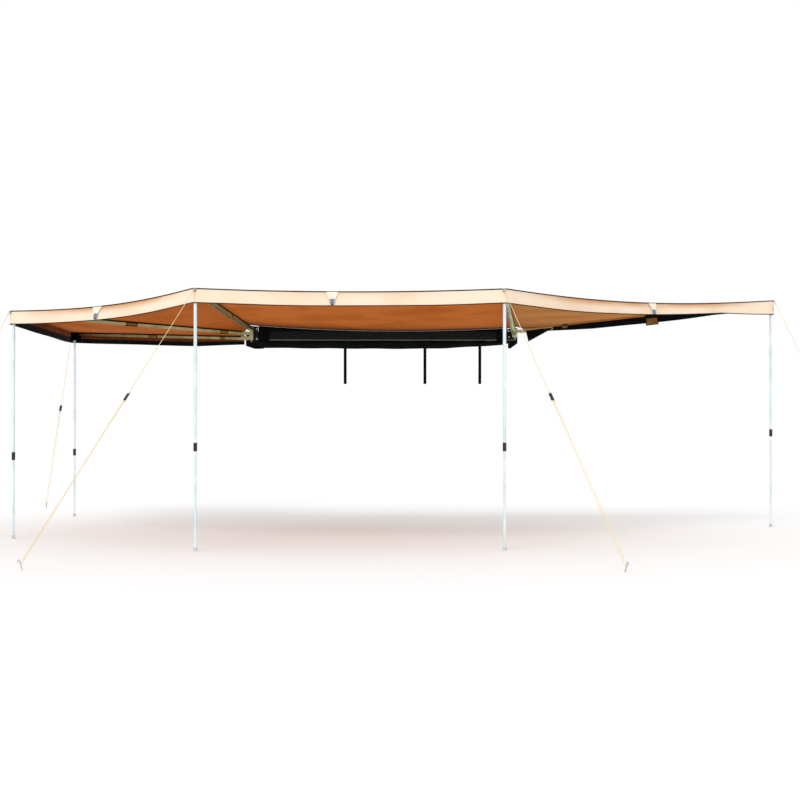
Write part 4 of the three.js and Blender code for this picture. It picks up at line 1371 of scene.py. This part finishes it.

# Finishes of the rigid pieces that stay as they are

# The aluminium's olive-green tint is a painted reflection of the tan cloth above it
drawn_aluminium = brushed("drawn_aluminium", tone(194, 196, 152), tone(158, 160, 116), 0.36)
tube_finish = brushed(
    "tube_finish",
    tone(230, 243, 246),
    tone(208, 224, 228),
    0.34,
    along=(260, 260, 3),
    bump=0.05,
    metallic=0.5,
)
zinc = brushed("zinc", tone(196, 198, 200), tone(158, 160, 164), 0.36, (120, 120, 120), 0.06)
black_coat = moulded("black_coat", tone(14, 15, 18), tone(28, 29, 33), 0.58, 700, sheen=0.22)
black_moulding = moulded("black_moulding", tone(17, 20, 26), tone(36, 40, 47), 0.48)
blue_moulding = moulded("blue_moulding", tone(126, 146, 166), tone(160, 176, 190), 0.42)
foot_moulding = moulded("foot_moulding", tone(200, 208, 208), tone(172, 180, 180), 0.6)
cord_braid = Finish("cord_braid", tone(232, 212, 140), 0.8)
braid_place = cord_braid.place((1, 1, 1), "UV", (0, 0, 0.9))
braid_turned = cord_braid.place((1, 1, 1), "UV", (0, 0, -0.9))
braid = cord_braid.math(
    "MAXIMUM", cord_braid.stripes(110, braid_place), cord_braid.stripes(110, braid_turned)
)
cord_braid.color(cord_braid.between(braid, tone(200, 168, 98), tone(244, 230, 178)))
cord_braid.bump(braid, 0.6, 0.0006)
for rope in [*ropes.values(), *knots]:
    finish_with(rope, cord_braid.material)

rail_finish = Finish("rail_finish", tone(20, 21, 23), 0.4, sheen=0.18)
rail_height = rail_finish.part(rail_finish.place(), "Z")
coated = rail_finish.ramp(rail_height, rail_base + 0.0085, rail_base + 0.0095)
lines = rail_finish.cloud(1, 5, rail_finish.place((3, 240, 240)))
bright = rail_finish.between(lines, tone(150, 152, 120), tone(112, 114, 88))
dark = rail_finish.between(
    rail_finish.ramp(rail_finish.cloud(14, 4), 0.4, 0.8), tone(8, 10, 9), tone(20, 23, 21)
)
rail_finish.color(rail_finish.between(coated, bright, dark))
rail_finish.rough(lines, 0.28, 0.55)
rail_bare = rail_finish.math("SUBTRACT", 1, coated)
rail_finish.link(rail_bare, rail_finish.shader.inputs["Metallic"])
rail_finish.bump(lines, 0.06, 0.0003)


def coat(prefix, material):
    """Gives a finish to every solid whose name starts so."""
    for node_name, node in nodes.items():
        if node_name.startswith(prefix):
            finish_with(node, material)


coat("mount_rail", rail_finish.material)
coat("arm_", drawn_aluminium)
coat("corner_cap_", blue_moulding)
coat("rack_bracket_", black_coat)
coat("hub_bracket_", black_coat)
coat("hub_pin_", zinc)
coat("ground_peg_", zinc)
coat("rope_slider_", black_moulding)

# Legs: smooth tubes, a ribbed collar and a small foot, modelled once and copied

upper_leg_length = 1.09
lower_leg_length = 1.0
leg_head_half = 0.013
tube_radius = 0.012
tube_wall = 0.0012
tube_bore = 0.08
inner_tube_radius = 0.01
collar_length = 0.06
collar_radius = 0.01425
collar_bore = 0.004
collar_taper = 0.86
collar_rings = ((-0.022, -0.014), (0.014, 0.022))
collar_ring_depth = 0.0008
grip_ribs = 24
grip_rib_edge = 0.0003
grip_rib_depth = 0.0009
collar_walls = (0.0017, 0.0019)
foot_radius = 0.014
foot_height = 0.026
foot_hollow_edge = 0.004
foot_hollow_depth = 0.0012
foot_shoulder = 0.001
foot_overlap = 0.002
foot_rings = ((0.008, 0.0105), (0.0145, 0.017))
foot_ring_depth = 0.0007
end_facing, side_facing = 0.9, 0.2


def pick_faces(piece, test):
    """Selects the faces that pass a test; the piece is in edit mode before and after."""
    bpy.ops.mesh.select_mode(type="FACE")
    bpy.ops.mesh.select_all(action="DESELECT")
    leave_edit()
    for polygon in piece.data.polygons:
        polygon.select = test(polygon)
    edit(piece)


def extrude(move):
    bpy.ops.mesh.extrude_region_move(TRANSFORM_OT_translate={"value": tuple(move)})


def round_bar(name, radius, low, high, sides=40):
    """A round bar along Z, ready in edit mode."""
    piece = added(
        name,
        bpy.ops.mesh.primitive_cylinder_add,
        vertices=sides,
        radius=radius,
        depth=high - low,
        location=(0, 0, (low + high) / 2),
    )
    edit(piece)
    return piece


def hollow_end(piece, height, wall, depth):
    """Opens one end of a bar: a wall's width is left and the rest goes in."""
    pick_faces(piece, lambda p: abs(p.center.z - height) < 1e-5 and abs(p.normal.z) > end_facing)
    bpy.ops.mesh.inset(thickness=wall)
    extrude((0, 0, depth))


def cut_rings(rings):
    """Cuts round the piece in edit mode at both edges of each ring."""
    for ring in rings:
        for height in ring:
            bpy.ops.mesh.select_all(action="SELECT")
            bpy.ops.mesh.bisect(plane_co=(0, 0, height), plane_no=(0, 0, 1))


def sink_rings(piece, rings, depth):
    for low, high in rings:
        pick_faces(piece, lambda p: low < p.center.z < high and abs(p.normal.z) < side_facing)
        bpy.ops.transform.shrink_fatten(value=-depth)


upper_leg = round_bar("upper_leg_tube", tube_radius, -upper_leg_length, 0)
hollow_end(upper_leg, -upper_leg_length, tube_wall, tube_bore)
leave_edit()
leg_head = round_bar("leg_head", tube_radius, -leg_head_half, leg_head_half)
leave_edit()
leg_head.data.transform(Matrix.Rotation(math.pi / 2, 4, "X"))
bevel_edges(leg_head, 0.0016, 3)
upper_leg = join_pieces("upper_leg_tube", [upper_leg, leg_head])
shade_smooth(upper_leg, 35)

lower_start = foot_height - foot_overlap
lower_leg = round_bar("lower_leg_tube", inner_tube_radius, lower_start, lower_leg_length)
hollow_end(lower_leg, lower_leg_length, tube_wall, -tube_bore)
leave_edit()
shade_smooth(lower_leg, 35)

leg_foot = round_bar("leg_foot", foot_radius, 0, foot_height)
pick_faces(leg_foot, lambda p: p.normal.z > end_facing)
bpy.ops.mesh.inset(thickness=foot_radius - inner_tube_radius - foot_shoulder)
pick_faces(leg_foot, lambda p: p.normal.z < -end_facing)
bpy.ops.mesh.inset(thickness=foot_hollow_edge)
extrude((0, 0, foot_hollow_depth))
cut_rings(foot_rings)
sink_rings(leg_foot, foot_rings, foot_ring_depth)
leave_edit()
bevel_edges(leg_foot, 0.0009, 2)
shade_smooth(leg_foot, 35)

collar_half = collar_length / 2
collar = round_bar("collar_shell", collar_radius, -collar_half, collar_half, 2 * grip_ribs)
cut_rings(collar_rings)


def on_alternate_rib(polygon):
    turn = math.atan2(polygon.center.y, polygon.center.x) / (2 * math.pi) % 1
    between_rings = abs(polygon.center.z) < collar_rings[1][0]
    return between_rings and int(turn * 2 * grip_ribs) % 2 == 0


pick_faces(collar, on_alternate_rib)
bpy.ops.mesh.inset(thickness=grip_rib_edge, use_individual=True)
bpy.ops.transform.shrink_fatten(value=-grip_rib_depth)
sink_rings(collar, collar_rings, collar_ring_depth)
pick_faces(collar, lambda p: p.center.z < 0.0001 - collar_half)
bpy.ops.transform.resize(value=(collar_taper, collar_taper, 1))
for end, wall in zip((-collar_half, collar_half), collar_walls):
    hollow_end(collar, end, wall, -math.copysign(collar_bore, end))
leave_edit()
bevel_edges(collar, 0.0005, 2, 40)
shade_smooth(collar, 35)

finish_with(upper_leg, tube_finish)
finish_with(lower_leg, tube_finish)
finish_with(leg_foot, foot_moulding)
finish_with(collar, black_moulding)
for name in arms:
    at_pin = leg_matrix(name)
    to_ground = Matrix.Translation((at_pin.translation.x, at_pin.translation.y, ground_z))
    to_collar = at_pin @ Matrix.Translation((0, 0, -upper_leg_length))
    upper = copy_to(upper_leg, "leg_upper_tube_" + name, at_pin)
    lower = copy_to(lower_leg, "leg_lower_tube_" + name, to_ground)
    foot = copy_to(leg_foot, "leg_foot_" + name, to_ground)
    grip = copy_to(collar, "leg_collar_grip_" + name, to_collar)
    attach(upper, name + "_leg")
    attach(lower, name + "_foot")
    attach(foot, name + "_foot")
    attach(grip, name + "_collar")
    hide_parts("upper_leg_" + name)
    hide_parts("lower_leg_" + name)
    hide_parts("leg_collar_" + name)
for model in (upper_leg, lower_leg, leg_foot, collar):
    bpy.data.objects.remove(model)

# Straps, tapes and tabs of cloth


def lay_out(piece, across, along):
    """Unwraps a piece flat, in metres, along two directions."""
    if not piece.data.uv_layers:
        piece.data.uv_layers.new(name="cloth")
    piece.data.uv_layers[0].name = "cloth"
    for corner, loop in zip(piece.data.uv_layers[0].data, piece.data.loops):
        place = piece.data.vertices[loop.vertex_index].co
        corner.uv = (place.dot(across), place.dot(along))


def cloth_patch(name, outline, thickness, shape):
    """A piece of cloth from a grid that is pulled to an outline and shaped by a function."""
    add = bpy.ops.mesh.primitive_grid_add
    piece = added(name, add, x_subdivisions=16, y_subdivisions=12, size=1)
    from_edge = piece.data.attributes.new("seam_distance", "FLOAT", "POINT").data
    for vertex, distance in zip(piece.data.vertices, from_edge):
        u, v = vertex.co.x + 0.5, vertex.co.y + 0.5
        x, z = outline(u, v)
        width = abs(outline(1, v)[0] - outline(0, v)[0])
        height = abs(outline(u, 1)[1] - outline(u, 0)[1])
        distance.value = min(u * width, (1 - u) * width, v * height, (1 - v) * height)
        vertex.co = (x, shape(u, v), z)
    thicken(piece, thickness)
    shade_smooth(piece, 50)
    lay_out(piece, Vector((1, 0, 0)), Vector((0, 0, 1)))
    return piece


# The tape that holds the cloth runs along both sides of each arm, and the ties close over it

tape_height = 0.011
tape_thickness = 0.0006
tape_low = 0.0002
tape_inner, tape_short = 0.1, 0.032
tie_thickness = 0.0009
tie_low = 0.0004
tie_flap_out, tie_pad_out, sleeve_out = 0.0182, 0.0193, 0.0179
patch_thickness = 0.0012
# The nose arm's inner tape takes the painted-light brown of the nose fan's underside
sleeve_cloth = canvas("sleeve_cloth", tan_brown, tan_shade)
tie_flap = cloth_patch(
    "tie_flap",
    lambda u, v: (u - 0.5, -v),
    tie_thickness,
    lambda u, v: -tie_flap_out - 0.0006 * math.sin(math.pi * u) * v,
)
finish_with(tie_flap, webbing)
tie_pad = cloth_patch(
    "tie_pad",
    lambda u, v: (0.84 * (u - 0.5), -0.34 - 0.6 * v),
    tie_thickness,
    lambda u, v: -tie_pad_out - 0.0005 * math.sin(math.pi * u) - 0.0004 * v,
)
finish_with(tie_pad, tan_tape)

# The ties of each arm: the distance from the hub, the width and the height of each
ties = {
    "side_rear": [(0.91, 0.05, 0.034)],
    "rear": [(0.27, 0.074, 0.034), (1.11, 0.1, 0.036)],
    "tail": [(0.3, 0.05, 0.034), (1.07, 0.1, 0.036), (1.83, 0.05, 0.034)],
    "side_front": [(1.15, 0.05, 0.034)],
    "nose": [(0.42, 0.05, 0.034), (1.15, 0.106, 0.088)],
}

# The outer side of each end arm, where its valance covers the ties
outer_flaps = {"tail": -1, "nose": 1}
for name, places in ties.items():
    arm = arms[name]
    on_arm = arm_matrix(name)
    tape_start = along_channel(arm, tape_inner)
    tape_end = pin_along(arm) - tape_short
    made = []
    for side in (-1, 1):
        tape = added(
            "tape",
            bpy.ops.mesh.primitive_cube_add,
            size=1,
            location=(
                (tape_start + tape_end) / 2,
                side * (channel_width / 2 + tape_thickness / 2 + rest_gap / 2),
                channel_height / 2 - tape_height / 2 - tape_low,
            ),
            scale=(tape_end - tape_start, tape_thickness, tape_height),
        )
        bevel_edges(tape, 0.00015, 1)
        lay_out(tape, Vector((0, 0, 1)), Vector((1, 0, 0)))
        finish_with(tape, sleeve_cloth if (name, side) == ("nose", -1) else webbing)
        made.append(tape)
        if outer_flaps.get(name) == side:
            continue
        turn = Matrix.Rotation(math.pi if side > 0 else 0, 4, "Z")
        for radius, width, height in places:
            stretch = Matrix.Diagonal((width, 1, height, 1))
            seat = (along_channel(arm, radius), 0, channel_height / 2 - tie_low)
            place = Matrix.Translation(seat)
            for model in (tie_flap, tie_pad):
                copy = copy_to(model, "tie", place @ turn @ stretch)
                lay_out(copy, Vector((1, 0, 0)), Vector((0, 0, 1)))
                made.append(copy)
    tie = join_pieces("arm_ties_" + name, made)
    tie.data.transform(on_arm)
    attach(tie, name + "_arm")
for model in (tie_flap, tie_pad):
    bpy.data.objects.remove(model)

# The dark sleeve on the inner side of the nose arm

sleeve_start, sleeve_length = 0.275, 1.76
sleeve_top, sleeve_height = 0.0045, 0.0235
sleeve = cloth_patch(
    "nose_arm_sleeve",
    lambda u, v: (sleeve_start + sleeve_length * u, sleeve_top - sleeve_height * v),
    tie_thickness,
    lambda u, v: -sleeve_out - 0.0003 * math.sin(19 * u + 2 * v) * v,
)
finish_with(sleeve, patch_cloth)
sleeve.data.transform(arm_matrix("nose"))
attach(sleeve, "nose_arm")

# Tabs sewn under the valance's top edge, each with a strap and a buckle to roll the valance up

tab_height, tab_start = 0.052, 0.001
tab_top, tab_foot = 0.085, 0.046
tab = cloth_patch(
    "valance_tab",
    lambda u, v: ((u - 0.5) * (tab_top + (tab_foot - tab_top) * v), -tab_start - tab_height * v),
    patch_thickness,
    lambda u, v: -0.0034 - 0.0035 * math.sin(math.pi * v * 0.8) - 0.002 * (2 * u - 1) ** 2 * v,
)
finish_with(tab, canvas("tab_cloth", tone(255, 242, 222), tone(240, 220, 190)))
tab_strap_width, tab_strap_thickness = 0.02, 0.0014
tab_strap_start, tab_strap_length, tab_strap_slant = 0.044, 0.047, 0.004
strap = cloth_patch(
    "tab_strap",
    lambda u, v: (
        tab_strap_width * (u - 0.5) + tab_strap_slant * v,
        -tab_strap_start - tab_strap_length * v,
    ),
    tab_strap_thickness,
    lambda u, v: -0.0048 - 0.0012 * math.sin(3 * v),
)
finish_with(strap, webbing)
buckle_width, buckle_height, buckle_thickness = 0.033, 0.034, 0.0035
buckle_place = (0.002, -0.0088, -0.0665)
buckle = added(
    "buckle", bpy.ops.mesh.primitive_grid_add, x_subdivisions=3, y_subdivisions=5, size=1
)
edit(buckle)
pick_faces(buckle, lambda p: abs(p.center.x) < 0.1 and 0.1 < abs(p.center.y) < 0.3)
bpy.ops.mesh.delete(type="FACE")
leave_edit()
buckle.data.transform(
    Matrix.Translation(buckle_place)
    @ Matrix.Rotation(math.pi / 2, 4, "X")
    @ Matrix.Diagonal((buckle_width, buckle_height, 1, 1))
)
thicken(buckle, buckle_thickness)
bevel_edges(buckle, 0.0009, 2)
shade_smooth(buckle, 40)
finish_with(buckle, blue_moulding)
tab = join_pieces("valance_tab", [tab, strap, buckle])
tab_out = 0.0012

# Each tab: the rim it hangs from, its place along X, and how much it slants
tabs = {
    "middle_rear": ("middle", -0.346, 0.04),
    "rear": ("rear", -2.113, 0.32),
    "nose": ("nose", 2.104, -0.25),
}
for name, (rim_name, x, askew) in tabs.items():
    rim, out = rims[rim_name]
    spans = zip(rim, rim[1:])
    before, after = next(pair for pair in spans if (pair[0].x - x) * (pair[1].x - x) <= 0)
    at = before.lerp(after, (x - before.x) / (after.x - before.x))
    along = (after - before).normalized()
    along = along if along.x > 0 else -along
    place = frame_of(at + out * tab_out, along.cross(-out).normalized(), along)
    slant = Matrix.Identity(4)
    slant[0][2] = askew
    copy = copy_to(tab, "valance_tab_" + name, place @ slant)
    fold_with(copy, name)
bpy.data.objects.remove(tab)

# The dark flap that closes the gap between the rail's front end and the nose arm's start

hub_flap_length, hub_flap_height = 0.24, 0.095
hub_flap_start, hub_flap_slant, hub_flap_top, hub_flap_out = 0.045, 0.012, 0.002, 0.0202
flap = cloth_patch(
    "hub_flap",
    lambda u, v: (
        hub_flap_start + hub_flap_length * u * (1 - v) + hub_flap_slant * v,
        -hub_flap_top - hub_flap_height * v,
    ),
    patch_thickness,
    lambda u, v: -hub_flap_out - 0.0012 * math.sin(5 * u) * v,
)
finish_with(flap, patch_cloth)
flap.data.transform(arm_matrix("nose"))
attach(flap, "nose_arm")

# Dark corner pockets on the inner sides of the two end arms, beside the legs' pins

pocket_length, pocket_height, pocket_flare = 0.092, 0.068, 0.008
pocket_back, pocket_top, pocket_out = 0.075, 0.0125, 0.02
for name, side in (("tail", 1), ("nose", -1)):
    start = pin_along(arms[name]) - pocket_back
    pocket = cloth_patch(
        "corner_pocket_" + name,
        lambda u, v: (
            start + pocket_length * u,
            pocket_top - (pocket_height + pocket_flare * u) * v,
        ),
        patch_thickness,
        lambda u, v: side * (pocket_out + 0.0012 * math.sin(3 * u) * v),
    )
    finish_with(pocket, patch_cloth)
    pocket.data.transform(arm_matrix(name))
    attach(pocket, name + "_arm")

# The bag's loose ends, which hang behind the rail and past its two ends

loose_top, loose_out, loose_swing = 0.098, 0.0014, 0.0022

# Each loose end: its side, its inner and outer edge along X, and the heights of its foot
loose_ends = {
    "rear": (-1, 1.02, 1.175, [-0.046, -0.048, -0.048, -0.036, -0.022]),
    "front": (1, 1.07, 1.152, [-0.042, -0.045, -0.03, -0.015, 0]),
}
for name, (side, inner, outer, lows) in loose_ends.items():
    width = outer - inner

    def loose_outline(u, v):
        return side * (inner + width * u), loose_top - (loose_top - between(lows, u)) * v

    loose_end = cloth_patch(
        "bag_loose_end_" + name,
        loose_outline,
        patch_thickness,
        lambda u, v: rail_back + loose_out + loose_swing * (math.sin(5 * u) * v) ** 2,
    )
    finish_with(loose_end, patch_cloth)
    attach(loose_end, "root")

# The stiff dark end panels of the storage bag, on the rail's face beside each hub

panel_inner, panel_outer = hub_span / 2 - 0.15, hub_span / 2 - 0.058
panel_top, panel_height, panel_thickness, panel_out = 0.11, 0.088, 0.0016, 0.0058
for name, side in (("rear", -1), ("front", 1)):
    panel = cloth_patch(
        "bag_end_panel_" + name,
        lambda u, v: (
            side * (panel_inner + (panel_outer - panel_inner) * u),
            panel_top - panel_height * v,
        ),
        panel_thickness,
        lambda u, v: rail_front - panel_out - 0.0006 * math.sin(4 * u + 3 * v),
    )
    finish_with(panel, patch_cloth)
    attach(panel, "root")

# Bolts

washer_radius, washer_thickness = 0.0085, 0.0014
bolt_head_radius, bolt_head_height = 0.0066, 0.0042
bolt_crown_edge, bolt_crown_height, bolt_crown_taper = 0.0012, 0.0005, 0.85
washer = round_bar("washer", washer_radius, 0, washer_thickness, 32)
leave_edit()
bevel_edges(washer, 0.0003, 2)
bolt_top = washer_thickness + bolt_head_height
bolt_head = round_bar("bolt_head", bolt_head_radius, washer_thickness, bolt_top, 6)
pick_faces(bolt_head, lambda p: p.normal.z > end_facing)
bpy.ops.mesh.inset(thickness=bolt_crown_edge)
extrude((0, 0, bolt_crown_height))
bpy.ops.transform.resize(value=(bolt_crown_taper, bolt_crown_taper, 1))
leave_edit()
bevel_edges(bolt_head, 0.0004, 2)
bolt = join_pieces("bolt", [washer, bolt_head])
shade_smooth(bolt, 35)
finish_with(bolt, zinc)
hub_bolt_out = 0.042
hub_bolt_reach = {"rear": 0.042, "front": 0.026}
rail_lip = 0.004
hub_plate_thickness = 0.005
hub_plate_face = rail_front - rail_lip - rest_gap - hub_plate_thickness
bracket_wall = 0.005
bracket_inner = -0.04
bracket_places = (-0.85, 0, 0.85)
slot_half_pitch = 0.0125
slot_height = 0.038
slot_inboard = 0.013
bolt_places = []
for name, hub in hubs.items():
    for rise in (-hub_bolt_reach[name], hub_bolt_reach[name]):
        x = hub["x"] + hub["side"] * hub_bolt_out
        place = Matrix.Translation((x, hub_plate_face, hub_lift + rise))
        bolt_places.append(place @ Matrix.Rotation(math.pi / 2, 4, "X"))
for x in bracket_places:
    for side in (-1, 1):
        across = x + side * slot_half_pitch
        on_upright = (across, bracket_inner + bracket_wall, rail_base + slot_height)
        turn = Matrix.Rotation(-math.pi / 2, 4, "X")
        bolt_places.append(Matrix.Translation(on_upright) @ turn)
        bolt_places.append(Matrix.Translation((across, slot_inboard, bracket_wall)))
bolts = [copy_to(bolt, "bolt", place) for place in bolt_places]
bolts = join_pieces("mounting_bolts", bolts)
bpy.data.objects.remove(bolt)
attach(bolts, "root")

# Moulded caps on the rail's ends

rail_end_margin = 0.01
rail_cap_thickness = 0.003
rail_cap_short = 0.0006
rail_cap_edge, rail_cap_hollow = 0.004, 0.0006
rail_cap = added(
    "rail_cap",
    bpy.ops.mesh.primitive_cube_add,
    size=1,
    location=(0, (rail_front + rail_back) / 2, (rail_base + rail_top) / 2),
    scale=(
        rail_cap_thickness,
        rail_back - rail_front - rail_cap_short,
        rail_top - rail_base - rail_cap_short,
    ),
)
edit(rail_cap)
pick_faces(rail_cap, lambda p: abs(p.normal.x) > end_facing)
bpy.ops.mesh.inset(thickness=rail_cap_edge)
bpy.ops.transform.shrink_fatten(value=-rail_cap_hollow)
leave_edit()
bevel_edges(rail_cap, 0.0006, 2)
shade_smooth(rail_cap, 35)
finish_with(rail_cap, black_moulding)
rail_end = hub_span / 2 + rail_end_margin + rail_cap_thickness / 2
for name, x in (("rear", -rail_end), ("front", rail_end)):
    cap = copy_to(rail_cap, "rail_end_cap_" + name, Matrix.Translation((x, 0, 0)))
    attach(cap, "root")
bpy.data.objects.remove(rail_cap)

# Ground pegs: a round bar with a point, spun over at its head

lean = Vector((math.sin(peg_lean), 0, math.cos(peg_lean)))
peg_hook, peg_below, peg_point, peg_tip = 0.016, 0.192, 0.014, 0.25
peg = added(
    "peg",
    bpy.ops.mesh.primitive_circle_add,
    vertices=20,
    radius=peg_radius,
    fill_type="NGON",
    location=-lean * peg_below,
    rotation=(0, peg_lean, 0),
)
edit(peg)
bpy.ops.mesh.select_all(action="SELECT")
bpy.ops.transform.resize(value=[peg_tip] * 3, center_override=tuple(-lean * peg_below))
extrude(lean * peg_point)
bpy.ops.transform.resize(
    value=[1 / peg_tip] * 3, center_override=tuple(lean * (peg_point - peg_below))
)
extrude(lean * (peg_below - peg_point + peg_show / 2))
hook_centre = lean * peg_show / 2 + Vector((peg_hook / 2, 0, 0))
bpy.ops.mesh.spin(steps=12, angle=-math.pi, center=tuple(hook_centre), axis=(0, 1, 0))
extrude((0, 0, -peg_hook / 2))
bpy.ops.mesh.select_all(action="SELECT")
bpy.ops.mesh.remove_doubles(threshold=0.00005)
bpy.ops.mesh.select_all(action="DESELECT")
bpy.ops.mesh.select_interior_faces()
bpy.ops.mesh.delete(type="FACE")
leave_edit()
face_outwards(peg)
shade_smooth(peg, 40)
finish_with(peg, zinc)
for name in arms:
    places = rope_places(name)
    turn = math.atan2(places["outwards"].y, places["outwards"].x)
    place = Matrix.Translation(places["peg"]) @ Matrix.Rotation(turn, 4, "Z")
    copy = copy_to(peg, "peg_rod_" + name, place)
    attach(copy, name + "_arm")
    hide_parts("ground_peg_" + name)
bpy.data.objects.remove(peg)

# Floor, sky and lamps

floor_size, floor_low = 120, 0.0005
floor = added(
    "pale_floor",
    bpy.ops.mesh.primitive_plane_add,
    size=floor_size,
    location=(0, 0, ground_z - floor_low),
)
floor_paint = Finish("floor_paint", tone(250, 250, 250), 1.0)
finish_with(floor, floor_paint.material)
floor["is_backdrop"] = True

world = bpy.data.worlds.new("studio")
bpy.context.scene.world = world
world.use_nodes = True
studio = world.node_tree
lighting_sky = studio.nodes["Background"]
seen_sky = studio.nodes.new("ShaderNodeBackground")
for sky, strength in ((lighting_sky, 0.85), (seen_sky, 1.0)):
    sky.inputs["Color"].default_value = (1, 1, 1, 1)
    sky.inputs["Strength"].default_value = strength
chooser = studio.nodes.new("ShaderNodeMixShader")
rays = studio.nodes.new("ShaderNodeLightPath")
seen = rays.outputs["Is Camera Ray"]
for kind in ("Is Glossy Ray", "Is Transmission Ray"):
    either = studio.nodes.new("ShaderNodeMath")
    either.operation = "MAXIMUM"
    studio.links.new(seen, either.inputs[0])
    studio.links.new(rays.outputs[kind], either.inputs[1])
    seen = either.outputs["Value"]
studio.links.new(seen, chooser.inputs["Fac"])
studio.links.new(lighting_sky.outputs["Background"], chooser.inputs[1])
studio.links.new(seen_sky.outputs["Background"], chooser.inputs[2])
studio.links.new(chooser.outputs["Shader"], studio.nodes["World Output"].inputs["Surface"])

sun = bpy.data.objects.new("soft_sun", bpy.data.lights.new("soft_sun", "SUN"))
bpy.context.scene.collection.objects.link(sun)
sun.data.energy = 1.1
sun.data.angle = math.radians(35)
sun.rotation_euler = (math.radians(48), 0, math.radians(-24))
bpy.context.scene.view_settings.view_transform = "Standard"

visual_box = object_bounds()
corners = [[list(corner) for corner in box] for box in (cad_box, visual_box)]
